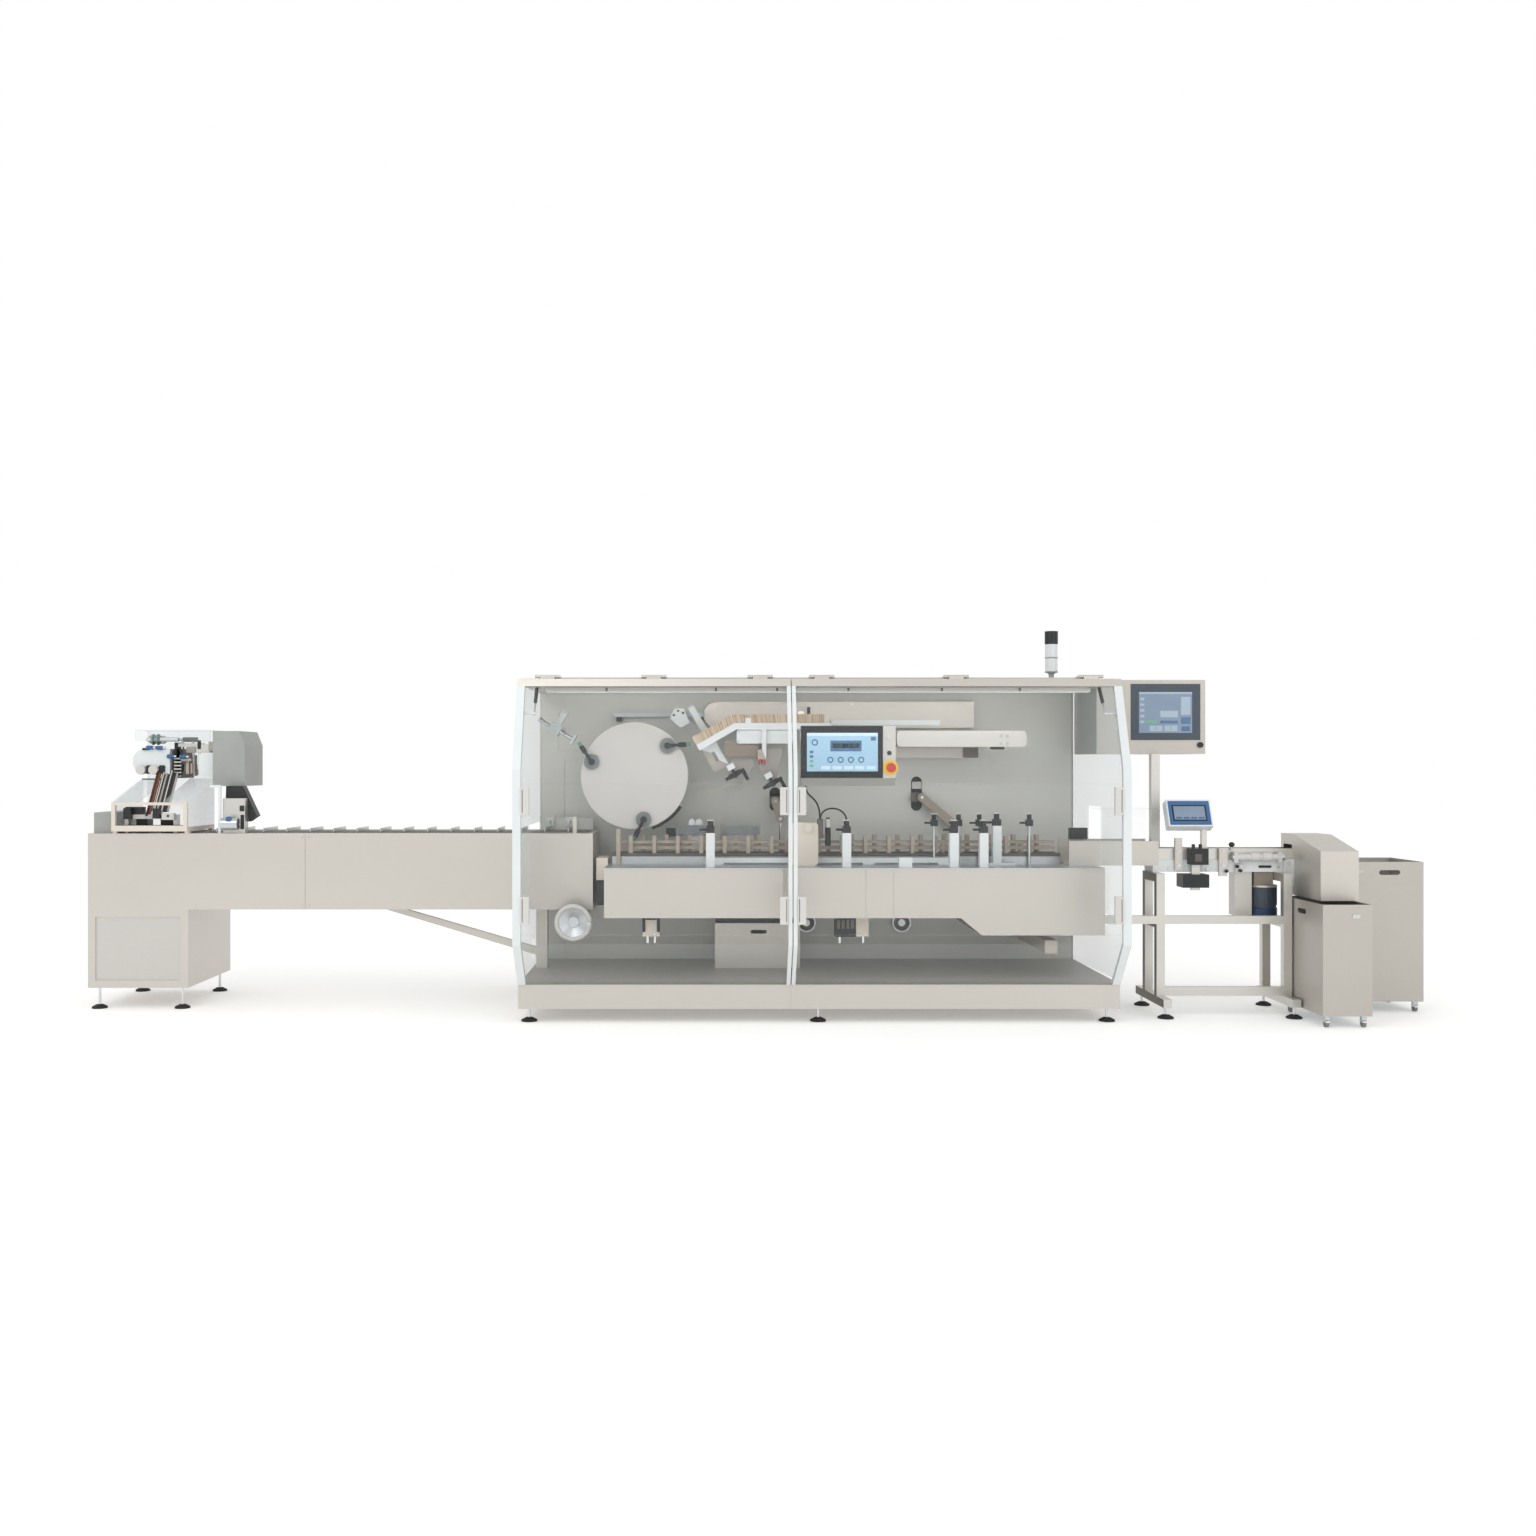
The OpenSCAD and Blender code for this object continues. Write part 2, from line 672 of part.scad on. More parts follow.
// Two rows of lugs, the rear row half a pitch ahead
module carton_chain() color("#d8cbb8") {
    count = floor((chain_x[1] - chain_x[0] - first_lug - lug_pitch / 2 - lug_t) / lug_pitch);
    for (row = [[lug_front, 0], [lug_rear, lug_pitch / 2]]) {
        block(chain_x, row[0], [bed_z - link_h, bed_z]);
        for (i = [0:count]) {
            x = chain_x[0] + first_lug + row[1] + i * lug_pitch;
            block([x, x + lug_t], row[0], [bed_z - 1, lug_z]);
        }
    }
}

rail_t = 8;
rail_gap = 1;
rail_zs_low = [835, 851];
rail_zs_high = [867, 880];
rail_pitch = 420;
rear_guides = [[-730, -544], [-484, -270]];
rear_guide_y = [at(700), at(708)];
rear_guide_zs = [904, 957];
rear_guide_leg = 14;
guide_stop = [-782, 895, 942];

// Carton guides just inside the two lug rows, on feet on the chain bed, and guides behind the chain
module guide_rails() color("#dcd6cc") {
    ends = [housing_x[0] + 60, chain_x[1] - 20];
    for (y = [lug_front[1] + rail_gap, lug_rear[0] - rail_gap - rail_t]) {
        for (z = [rail_zs_low, rail_zs_high]) block(ends, [y, y + rail_t], z);
        for (x = [ends[0] + 40:rail_pitch:ends[1]])
            block([x, x + 16], [y, y + rail_t], [bed_z - link_h, rail_zs_high[1]]);
    }
    block([guide_stop[0], rear_guides[0][0] + 1], rear_guide_y, [guide_stop[1], guide_stop[2]]);
    for (g = rear_guides) {
        block(g, rear_guide_y, rear_guide_zs);
        for (x = [g[0] + 2 * rear_guide_leg, g[1] - 2 * rear_guide_leg])
            block(span(x, rear_guide_leg), [rear_guide_y[1] - 1, rear_guide_y[1] + rear_guide_leg],
                  [table_z, rear_guide_zs[1] - rear_guide_leg]);
    }
}

post_in = 250;
front_posts = [-541, 160, 711, 865];
tall_post = [958, 382];
tall_foot = [[914, 1050], [355, 410], 14];
stem_s = 16;
stem_in_y = 482;
stem_top = 962;
stem_xs = [645, 775, 885, 1150];
profile_x = [-530, 720];
profile_y = [at(440), at(466)];
profile_zs = [9, 35];
profile_foot = 60;
stop_block = [[425, 492], [at(200), at(240)], 50];
knob_bar = [[-662, -584], [at(716), at(736)], [table_z, 968]];
knob_pair = [[-642, -604], 975, 34];
small_posts = [[[-1040, -1018], [at(470), at(490)], 947], [[-490, -466], knob_bar[1], 965]];

// Places of the posts' tops, as X, Y and Z
post_tops = concat([for (x = front_posts) [x, at(post_in), table_z + post_h]],
                   [[tall_post[0], at(tall_post[1]), table_z + post_h + 32]]);
stem_tops = [for (x = stem_xs) [x, at(stem_in_y), stem_top]];

module adjuster_posts() color("#f0f0ee") {
    for (p = post_tops)
        block(span(p[0], post_s), span(p[1], post_s), [table_z, p[2]]);
    block(tall_foot[0], [at(tall_foot[1][0]), at(tall_foot[1][1])], [table_z, table_z + tall_foot[2]]);
    for (p = stem_tops) rod_z(p[0], p[1], [table_z, p[2]], stem_s);
    block(profile_x, profile_y, [table_z + profile_zs[0], table_z + profile_zs[1]]);
    for (i = [0:3]) {
        x = profile_x[0] + i * (profile_x[1] - profile_x[0] - profile_foot) / 3;
        block([x, x + profile_foot], profile_y, [table_z, table_z + profile_zs[0] + 1]);
    }
    block(stop_block[0], stop_block[1], [table_z, table_z + stop_block[2]]);
    block([knob_bar[0][0] + 20, knob_bar[0][1] - 20], knob_bar[1], knob_bar[2]);
    block(knob_bar[0], knob_bar[1], [knob_bar[2][1] - 20, knob_bar[2][1]]);
    for (x = knob_pair[0]) rod_y(x, knob_pair[1], [knob_bar[1][0] - 14, knob_bar[1][1]], knob_pair[2]);
    for (p = small_posts) block(p[0], p[1], [table_z, p[2]]);
}

head_h = 34;
cap_h = 28;
lever_l = 34;
sensor_x = [-115, -20];
sensor_w = 40;
sensor_h = 60;

// Position indicator: head, turning cap and a lever to the left
module indicator(p, w) {
    block(span(p[0], w), span(p[1], w), [p[2], p[2] + head_h]);
    rod_z(p[0], p[1], [p[2] + head_h - 1, p[2] + head_h + cap_h], 0.7 * w);
    rod_x(p[1], p[2] + head_h / 2, [p[0] - w / 2 - lever_l, p[0]], 0.3 * w);
}

module position_indicators() color("#26282a") {
    for (p = post_tops) indicator(p, post_s - 4);
    for (p = stem_tops) indicator(p, post_s - 10);
    block([half_l + sensor_x[0], half_l + sensor_x[1]], [trough_y[1] - sensor_w, trough_y[1]],
          [trough_z1, trough_z1 + sensor_h]);
}

closing_x = [-120, 22];
closing_y = [at(355), at(425)];
closing_zs = [table_z, 985];
closing_boss = [-29, 958, 46];
clamp_x = [closing_x[1] - 1, 48];
clamp_zs = [903, 1002];
bottle = [75, at(390), 30];
bottle_zs = [863, 1002];
transfer_l = 60;
transfer_y = [at(440), at(640)];
transfer_zs = [[546, 672], [678, 795]];
link_depth = [70, 46];
link_w = 46;
slider_h = 50;
links = [[[-178, 1085], [-150, 985]], [[640, 1105], [817, 956]]];
drop_x = [1193, 1258];
drop_zs = [309, 376];

// Slider in a wall slot with its link and the post that carries the link's lower end
module wall_link(slot, l) {
    y = [wall_y - link_depth[0], wall_y - link_depth[1]];
    link_y(l[0], l[1], link_w, y);
    block([slot[0] - slot_w / 2, slot[0] + slot_w / 2], [y[1] - 1, wall_y + wall_t / 2],
          [l[0][1] - slider_h / 2, l[0][1] + slider_h / 2]);
    rod_z(l[1][0], (y[0] + y[1]) / 2, [table_z, l[1][1]], 18);
}

module closing_unit() {
    rounded_y(closing_x, closing_y, closing_zs, 20);
    rod_y(closing_boss[0], closing_boss[1], [closing_y[0] - 12, closing_y[0] + 1], closing_boss[2]);
    block(clamp_x, closing_y, clamp_zs);
    block([clamp_x[1] - 1, bottle[0]], [bottle[1] - 6, bottle[1] + 6], [clamp_zs[0], clamp_zs[0] + 20]);
    rod_z(bottle[0], bottle[1], bottle_zs, bottle[2]);
}

module actuators() color("#d8d2c6") {
    for (x = [[-891, -803], [105, 276]]) {
        block(x, [at(270), at(350)], [housing_z0 - 105, housing_z0]);
        for (end = [x[0] + 25, x[1] - 25]) rod_z(end, at(310), [housing_z0 - 142, housing_z0 - 104], 16);
    }
    block(drop_x, [at(300), wall_y], drop_zs);
    block([drop_x[0] + 8, drop_x[1] - 8], [at(500), at(560)], [drop_zs[1] - 1, deep_z0]);
    for (z = transfer_zs) block([housing_x[0] - transfer_l, housing_x[0]], transfer_y, z);
    for (i = [0, 1]) wall_link(wall_slots[i], links[i]);
    closing_unit();
}

waste_x = [-517, -60];
waste_gap = 70;
waste_d = 320;
waste_y = [wall_y - waste_gap - waste_d, wall_y - waste_gap];
waste_z1 = 458;
waste_slot = [-325, -240];
grip_w = 20;
grip_drop = 68;

module waste_box() color("#cbc5bb") difference() {
    block(waste_x, waste_y, [deck_z, waste_z1]);
    block([waste_x[0] + sheet_t, waste_x[1] - sheet_t], [waste_y[0] + sheet_t, waste_y[1] - sheet_t],
          [deck_z + sheet_t, waste_z1 + 1]);
    level_slot_y(waste_slot, [waste_y[0] - 1, waste_y[0] + sheet_t + 1], waste_z1 - grip_drop, grip_w);
}

// Rotary carton feeder: disc, three planet arms and the pre-opener

disc_t = 16;
disc_bevel = 3;
hub_d = 120;
hub_l = 60;
disc_y = [at(rotor_in), at(rotor_in) + disc_t];

module rotor_disc() color("#e9e7e3") difference() {
    union() {
        rod_y(rotor_x, rotor_z, [disc_y[0] + disc_bevel, disc_y[1]], 2 * rotor_r);
        translate([rotor_x, disc_y[0] + disc_bevel, rotor_z]) rotate([90, 0, 0])
            cylinder(r1 = rotor_r, r2 = rotor_r - disc_bevel, h = disc_bevel);
        rod_y(rotor_x, rotor_z, [disc_y[1] - 1, disc_y[1] + hub_l], hub_d);
        rod_y(rotor_x, rotor_z, [disc_y[1] + hub_l - 1, drive_y - 2], rotor_shaft_d);
    }
    for (i = [0:2]) {
        t = arm_turn + 120 * i;
        rod_y(rotor_x + planet_r * cos(t), rotor_z + planet_r * sin(t), [disc_y[0] - 1, disc_y[1] + 1],
              planet_shaft_d + 2 * fit);
    }
}

washer_d = 85;
washer_t = 12;
arm_hub_d = 34;
arm_d = 16;
arm_gap = 5;
valve_d = 26;
valve_l = 42;
cup_d = 20;
cup_l = 24;
cup_gap = 24;

// Suction arm along +X from its pivot, which lies on the Y axis
module arm_shape() {
    front = disc_y[0] - arm_gap;
    mid = front - washer_t - 10;
    rod_y(0, 0, [front - washer_t, front], washer_d);
    rod_y(0, 0, [front - 1, disc_y[1] + 20], planet_shaft_d);
    rod_y(0, 0, [disc_y[1] + arm_gap, disc_y[1] + arm_gap + 12], 2 * planet_shaft_d);
    rod_y(0, 0, [mid - 12, front], arm_hub_d);
    rod_x(mid, 0, [0, arm_reach - cup_l], arm_d);
    rod_x(mid, 0, [arm_reach - cup_l - valve_l, arm_reach - cup_l], valve_d);
    block([arm_reach - cup_l - 14, arm_reach - cup_l], [mid - 22, mid + 22], [-9, 9]);
    for (y = [mid - cup_gap / 2, mid + cup_gap / 2])
        translate([arm_reach - cup_l - 1, y, 0]) rotate([0, 90, 0])
            cylinder(d1 = cup_d - 6, d2 = cup_d, h = cup_l + 1);
}

// The arms turn three times against the disc, so each points outward at the pick angle
module suction_arm(i) color("#3a3c3e") {
    t = arm_turn + 120 * i;
    translate([rotor_x + planet_r * cos(t), 0, rotor_z + planet_r * sin(t)])
        rotate([0, 2 * t - 3 * pick_turn, 0]) arm_shape();
}

module suction_arm_1() suction_arm(0);
module suction_arm_2() suction_arm(1);
module suction_arm_3() suction_arm(2);

opener_turn = pick_turn + 120;
opener_y = [at(560), at(606)];
rim_turns = [-72, -34];
rim_rs = [264, 308];
rim_y = [disc_y[1] + 40, disc_y[1] + 52];
rim_steps = 12;

function rim_arc(r) = [for (i = [0:rim_steps])
    let (t = rim_turns[0] + i * (rim_turns[1] - rim_turns[0]) / rim_steps)
    [rotor_x + r * cos(t), rotor_z + r * sin(t)]];

// Curved guide behind the disc's rim, on a stay from the wall
module rim_guide() {
    mid = (rim_turns[0] + rim_turns[1]) / 2;
    r = (rim_rs[0] + rim_rs[1]) / 2;
    along_y(concat(rim_arc(rim_rs[1]), reversed(rim_arc(rim_rs[0]))), rim_y);
    rod_y(rotor_x + r * cos(mid), rotor_z + r * sin(mid), [rim_y[1] - 1, wall_y], 20);
}

module pre_opener() color("#8e9296") {
    mid = (opener_y[0] + opener_y[1]) / 2;
    translate([rotor_x, 0, rotor_z]) rotate([0, -opener_turn, 0]) {
        block([pick_r, pick_r + 14], opener_y, [-30, 30]);
        rod_x(mid, 0, [pick_r + 13, pick_r + 220], 18);
        rod_x(mid, 0, [pick_r + 196, pick_r + 222], 26);
        block([pick_r + 90, pick_r + 150], [opener_y[0] - 5, opener_y[1] + 5], [-28, 28]);
        block([pick_r + 104, pick_r + 136], [mid - 12, mid + 12], [-105, -27]);
        rod_y(pick_r + 120, 0, [opener_y[1] + 4, wall_y], 24);
    }
    rim_guide();
}

// Magazine with its sloping end at the pick station

chute_low = carton_h / 2 + chute_t;
chute_side = 9;
strap_in = 60;
strap_w = 30;

// Box in the slope's own directions, from the pick face
module on_slope(way, up, y)
    along_y([for (p = [[way[0], up[0]], [way[1], up[0]], [way[1], up[1]], [way[0], up[1]]])
        pick + p[0] * slope_way + p[1] * slope_up], y);

hold_line = [[-30, 118], [28, 118], [40, 205], [-8, 225], [-52, 190]];
hold_y = [magazine_y[1] + chute_t + 14, magazine_y[1] + chute_t + 24];
hold_hole = [0, 190];
stop_t = 6;
stop_bar = [[60, 95], [-20, 190]];
stop_plate = [[-15, 40], [75, 40], [35, 116], [-15, 116]];

module magazine_chute() color("#e6e4e0") {
    path = [pick, bend, level_end];
    sides = [[magazine_y[0] - chute_t, magazine_y[0]], [magazine_y[1], magazine_y[1] + chute_t]];
    for (y = sides) {
        along_y(band(path, chute_side, chute_low), y);
        along_y(band([bend + [strap_in, 0], bend + [strap_in + strap_w, 0]], -carton_h / 4, chute_low), y);
    }
    along_y(band(path, carton_h / 2, chute_low), [sides[0][0], sides[1][1]]);
    on_slope(stop_bar[0], stop_bar[1], [sides[1][1] - 1, sides[1][1] + stop_t]);
    along_y([for (p = stop_plate) pick + p[0] * slope_way + p[1] * slope_up],
            [sides[1][1] + stop_t, sides[1][1] + 2 * stop_t]);
    stay = pick + hold_hole[0] * slope_way + hold_hole[1] * slope_up;
    along_y([for (p = hold_line) pick + p[0] * slope_way + p[1] * slope_up], hold_y);
    rod_y(stay[0], stay[1], [hold_y[0] - 8, wall_y - disc_rail_in - fit], 24);
}

stack_end = 40;

module carton_stack() color("#c9a982")
    along_y(band([pick, bend, level_end - [stack_end, 0]], -carton_h / 2, carton_h / 2), magazine_y);

drive_l = 312;
drive_h = 74;
drive_x0 = bend[0] + 14;
drive_top = bend[1] - chute_low;
drive_y0 = at(520);
drive_w = 130;
cover_r = 14;
gear_x = [drive_x0 - 65, drive_x0 + 118];
gear_zs = [drive_top - 143, drive_top - 58];
gear_r = 20;
plate_y = [drive_y0 + 60, drive_y0 + 72];
tie_x = [drive_x0 + 135, drive_x0 + 157];
joint_x = [drive_x0 + 112, drive_x0 + 157];
hanger = [[10, 100], [-185, -chute_low + 1]];

module magazine_drive() color("#d9d9d6") {
    rounded_y([drive_x0, drive_x0 + drive_l], [drive_y0, drive_y0 + drive_w],
              [drive_top - drive_h, drive_top], cover_r);
    rounded_y(gear_x, [drive_y0 + 20, drive_y0 + drive_w - 10], gear_zs, gear_r);
    block([joint_x[0], joint_x[0] + 60], [drive_y0 + drive_w - 1, wall_y], [drive_top - 65, drive_top - 15]);
    block(tie_x, [drive_y0 - 25, drive_y0 - 19], [drive_top - 115, drive_top + 31]);
    block(joint_x, [drive_y0 - 25, plate_y[0] + 1], [drive_top - 159, drive_top - 107]);
    difference() {
        on_slope(hanger[0], [hanger[1][0], hanger[1][1] - 1], plate_y);
        on_slope([48, 66], [-140, -85], [plate_y[0] - 1, plate_y[1] + 1]);
    }
    along_y([for (p = [[-60, -240], [20, -290], [90, -200], [90, -142], [-20, -142]])
        [drive_x0 + p[0], drive_top + p[1]]], plate_y);
    along_y([for (p = [[100, -142], [147, -267], [209, -292], [250, -100], [200, -72], [100, -72]])
        [drive_x0 + p[0], drive_top + p[1]]], plate_y);
    along_y([for (p = [[-159, -342], [20, -284], [20, -274], [-159, -332]])
        [drive_x0 + p[0], drive_top + p[1]]], plate_y);
    for (seat = crank_seats) difference() {
        on_crank(seat) block([-bearing_l, 0], [-20, plate_y[0] - crank_y + 1], [-20, 20]);
        on_crank(seat) rod_x(0, 0, [-bearing_l - 1, 1], crank_shaft_d + 2 * fit);
    }
}

crank_shaft_d = 14;
crank_turn = magazine_tilt - 90;
crank_seats = [[drive_x0 - 24, drive_top - 212], [drive_x0 + 176, drive_top - 258]];
crank_y = drive_y0 - 12;
bearing_l = 30;
crank_hub = [18, 44];
crank_hub_d = 36;
lobe_w = 22;
lobe_t = 18;
grip_d = 18;
grip_l = 50;

module on_crank(seat)
    translate([seat[0], crank_y, seat[1]]) rotate([0, -crank_turn, 0]) children();

// Adjusting crank: lobed wheel and grip on a shaft along its own axis, from the seat outwards
module crank(seat) color("#1e1e1e")
    on_crank(seat) {
        mid = (crank_hub[0] + crank_hub[1]) / 2;
        rod_x(0, 0, [-bearing_l + 2, crank_hub[1]], crank_shaft_d);
        rod_x(0, 0, crank_hub, crank_hub_d);
        block([mid - lobe_t / 2, mid + lobe_t / 2], [-lobe_w / 2, lobe_w / 2], [-crank_d / 2, crank_d / 2]);
        rod_x(0, crank_d / 2 - grip_d / 2 - 2, [mid, mid + lobe_t / 2 + grip_l], grip_d);
    }

module left_crank() crank(crank_seats[0]);
module right_crank() crank(crank_seats[1]);

// Wall cover with a round left end, the beam that carries the magazine's far end, and a duct under it

cover_x = [-578, 930];
cover_zs = [1493, 1639];
cover_depth = 70;
beam_x = [458, 1153];
beam_zs = [1383, 1469];
beam_y = [at(560), at(620)];
beam_r = 22;
bracket_w = 50;
duct_x = [470, 940];
duct_zs = [1326, 1382];
duct_d = 130;
duct_end = 78;
disc_rail = [128, 379];
disc_rail_zs = [1554, 1576];
disc_rail_in = 96;
disc_rail_arm = 26;
disc_rail_arms = [-114, 340];

module wall_covers() color("#d2cdc8") {
    r = (cover_zs[1] - cover_zs[0]) / 2;
    y = [wall_y - cover_depth, wall_y];
    block([cover_x[0] + r, cover_x[1]], y, cover_zs);
    rod_y(cover_x[0] + r, cover_zs[0] + r, y, 2 * r);
    rounded_y(beam_x, beam_y, beam_zs, beam_r);
    for (x = [beam_x[0] + 120, beam_x[1] - 200])
        block([x, x + bracket_w], [beam_y[1] - 1, wall_y], [beam_zs[0] + 15, beam_zs[1] - 15]);
    block([duct_x[0], duct_x[1] - duct_end], [wall_y - duct_d, wall_y], duct_zs);
    block([duct_x[1] - duct_end - 1, duct_x[1]], [wall_y - duct_d - 20, wall_y], duct_zs);
    block([rotor_x - disc_rail[0], rotor_x + disc_rail[1]],
          [wall_y - disc_rail_in, wall_y - cover_depth - run], disc_rail_zs);
    for (x = disc_rail_arms)
        block([rotor_x + x, rotor_x + x + disc_rail_arm], [wall_y - disc_rail_in, wall_y],
              [disc_rail_zs[0] - disc_rail_arm, disc_rail_zs[0] + 1]);
}

hmi_x = [-78, 408];
hmi_glass_x1 = 342;
hmi_zs = [1219, 1486];
hmi_chin = 41;
hmi_slant = 40;
hmi_y = [at(206), at(275)];
hmi_glass_t = 6;
key_x = 375;
key_zs = [1429, 1347];
key_d = 22;
stop_z = 1272;
stop_x = 381;
collar_d = 76;
knob_d = 48;
arm_x = [150, 210];
arm_zs = [1320, 1380];

module hmi_panel() color("#101114") {
    chin_z = hmi_zs[0] - hmi_chin;
    along_x([[hmi_y[0], hmi_zs[0]], [hmi_y[0], hmi_zs[1]], [hmi_y[1], hmi_zs[1]], [hmi_y[1], chin_z],
             [hmi_y[0] + hmi_slant, chin_z]], hmi_x);
    block([hmi_x[0], hmi_glass_x1], [hmi_y[0] - hmi_glass_t, hmi_y[0] + 1], hmi_zs);
    for (z = key_zs) rod_y(key_x, z, [hmi_y[0] - 8, hmi_y[0] + 1], key_d);
    rod_y(stop_x, stop_z, [hmi_y[0] - 12, hmi_y[0] + 1], collar_d);
    rod_y(stop_x, stop_z, [hmi_y[0] - 26, hmi_y[0]], 0.6 * knob_d);
    rod_y(stop_x, stop_z, [hmi_y[0] - 40, hmi_y[0] - 25], knob_d);
    block(arm_x, [hmi_y[1] - 1, wall_y], arm_zs);
}

cable_d = 9;
clamp_mid = (clamp_x[0] + clamp_x[1]) / 2;

// Leads that run from the panel and a post to the closing unit
module cables() color("#161616") {
    y0 = hmi_y[1] - 17;
    y1 = closing_y[0] + 20;
    y2 = closing_y[1] - 20;
    under = hmi_zs[0] - hmi_chin;
    head = post_tops[1] + [0, 0, head_h + cap_h];
    cable([[hmi_x[0] + 28, y0, under], [hmi_x[0] + 28, y0, under - 70],
           [clamp_mid, y2, clamp_zs[1] + 130], [clamp_mid, y2, clamp_zs[1]]], cable_d);
    cable([[clamp_mid, y1, clamp_zs[1]], [clamp_mid, y1, clamp_zs[1] + 80],
           head + [0, 0, 80], head], cable_d);
}

// Handwheel beside the transport, on a shaft through the back wall's bearing

wheel_z = 468;
wheel_in = 300;
rim_d = 24;
wheel_hub_d = 56;
wheel_hub_l = 34;
dish = 18;
web_t = 9;
wheel_grip = 55;

module handwheel() color("#ececec") {
    rim_r = (wheel_d - rim_d) / 2;
    mid = at(wheel_in);
    translate([wheel_x, mid, wheel_z]) rotate([90, 0, 0]) {
        rotate_extrude() translate([rim_r, 0]) circle(d = rim_d);
        rotate_extrude() polygon([[0, -dish - web_t], [wheel_hub_d / 2, -dish - web_t], [rim_r, -web_t / 2],
                                  [rim_r, web_t / 2], [wheel_hub_d / 2, -dish], [0, -dish]]);
    }
    rod_y(wheel_x, wheel_z, [mid + dish - 4, mid + dish + wheel_hub_l], wheel_hub_d);
    rod_y(wheel_x, wheel_z, [mid + dish + wheel_hub_l - 1, drive_y - 2], wheel_shaft_d);
    rod_y(wheel_x + rim_r, wheel_z, [mid - wheel_grip, mid], 20);
}

// Stack light on the roof

lamp_right = 240;
lamp_d = 65;
lamp_in = 450;
stalk_d = 28;
stalk_h = 55;
lens_h = 72;
cap_top_h = 62;

module stack_light() color("#e3e6e6") translate([half_l - lamp_right, at(lamp_in), roof_z]) {
    cylinder(d = 100, h = 8);
    cylinder(d = stalk_d, h = stalk_h);
    translate([0, 0, stalk_h - 12]) cylinder(d1 = stalk_d, d2 = lamp_d, h = 13);
    translate([0, 0, stalk_h]) cylinder(d = lamp_d - 6, h = 2 * lens_h + 10);
    for (i = [0, 1]) translate([0, 0, stalk_h + i * (lens_h + 5)]) cylinder(d = lamp_d, h = lens_h);
    translate([0, 0, stalk_h + 2 * lens_h + 8]) cylinder(d = lamp_d + 4, h = cap_top_h);
}

// Infeed: beam with a bucket chain, cabinet, brace and post

brace_x0 = infeed_x0 + 1475;
brace_end_z = 264;
post_x = [infeed_x1 - 318, infeed_x1 - 258];
beam_seam_x = infeed_x0 + 1144.5;
guide_post = [98, 20, 88];

module infeed_beam() color("#cec9c1") difference() {
    block([infeed_x0, infeed_x1], [on_beam(0), on_beam(infeed_d)], [infeed_z0, infeed_z1]);
    block(span(beam_seam_x, seam_w), [on_beam(0) - 1, on_beam(seam_w)], [infeed_z0 - 1, infeed_z1 + 1]);
}

cabinet_foot_in = 45;
cabinet_foot_xs = [infeed_x0 + cabinet_foot_in, infeed_x0 + cabinet_l - cabinet_foot_in];
cabinet_foot_ys = [on_beam(cabinet_foot_in), on_beam(cabinet_d - cabinet_foot_in)];
cabinet_frame = 40;
cabinet_recess = 6;

module infeed_cabinet() color("#d8d4cd") difference() {
    x = [infeed_x0, infeed_x0 + cabinet_l];
    y = [on_beam(0), on_beam(cabinet_d)];
    block(x, y, [cabinet_z0, infeed_z0]);
    block([x[0] + cabinet_frame, x[1] - cabinet_frame], [y[0] - 1, y[0] + cabinet_recess],
          [cabinet_z0 + cabinet_frame, infeed_z0 - cabinet_frame]);
}

feeder_x0 = infeed_x0 + 131;
feeder_x1 = feeder_x0 + 398;
bucket_x = [feeder_x0 + 10, infeed_x1 - 30];
bucket_y = [on_beam(100), on_beam(infeed_d - 140)];
belt_t = 6;
bucket_h = 24;
pusher_x = [infeed_x1 - 310, infeed_x1 - 30];
pusher_zs = [infeed_z1, infeed_z1 + 66];

// Buckets on their belt, and the pushers beside its end
module bucket_chain() color("#a9acad") {
    block(bucket_x, bucket_y, [infeed_z1, infeed_z1 + belt_t]);
    count = floor((bucket_x[1] - bucket_x[0] - 20) / bucket_pitch);
    for (i = [0:count]) {
        x = bucket_x[0] + i * bucket_pitch;
        if (x > feeder_x1 + 20) block([x, x + 6], bucket_y, [infeed_z1 + belt_t - 1, infeed_z1 + bucket_h]);
    }
    block(pusher_x, [bucket_y[1] + 40, bucket_y[1] + 80], pusher_zs);
    for (x = [pusher_x[0] + 20:110:pusher_x[1] - 60]) {
        block([x, x + 46], [bucket_y[1] + 10, bucket_y[1] + 41], [pusher_zs[1] - 44, pusher_zs[1] + 10]);
        rod_y(x + 23, pusher_zs[1] - 15, [bucket_y[1] - 60, bucket_y[1] + 11], 14);
    }
}

module infeed_supports() color("#d6d0c6") {
    along_y([[brace_x0, infeed_z0], [brace_x0 + 2.6 * brace_s, infeed_z0],
             [post_x[0], brace_end_z + brace_s], [post_x[0], brace_end_z]], brace_y);
    block(post_x, [brace_y[0] - 10, brace_y[1] + 10], [deck_z, infeed_z0]);
    block(span(infeed_x1 - guide_post[0], guide_post[1]), [on_beam(30), on_beam(30) + guide_post[1]],
          [infeed_z1, infeed_z1 + guide_post[2]]);
}

// Product feeder on the infeed

feeder_y = [on_beam(-20), on_beam(410)];
feeder_zs = [infeed_z1 + 12, infeed_z1 + 164, infeed_z1 + 283];
feeder_w = 30;
frame_t = 20;
guard_t = 6;
grip_x = [feeder_x1 + 150, feeder_x1 + 164];
grip_z1 = infeed_z1 + 255;

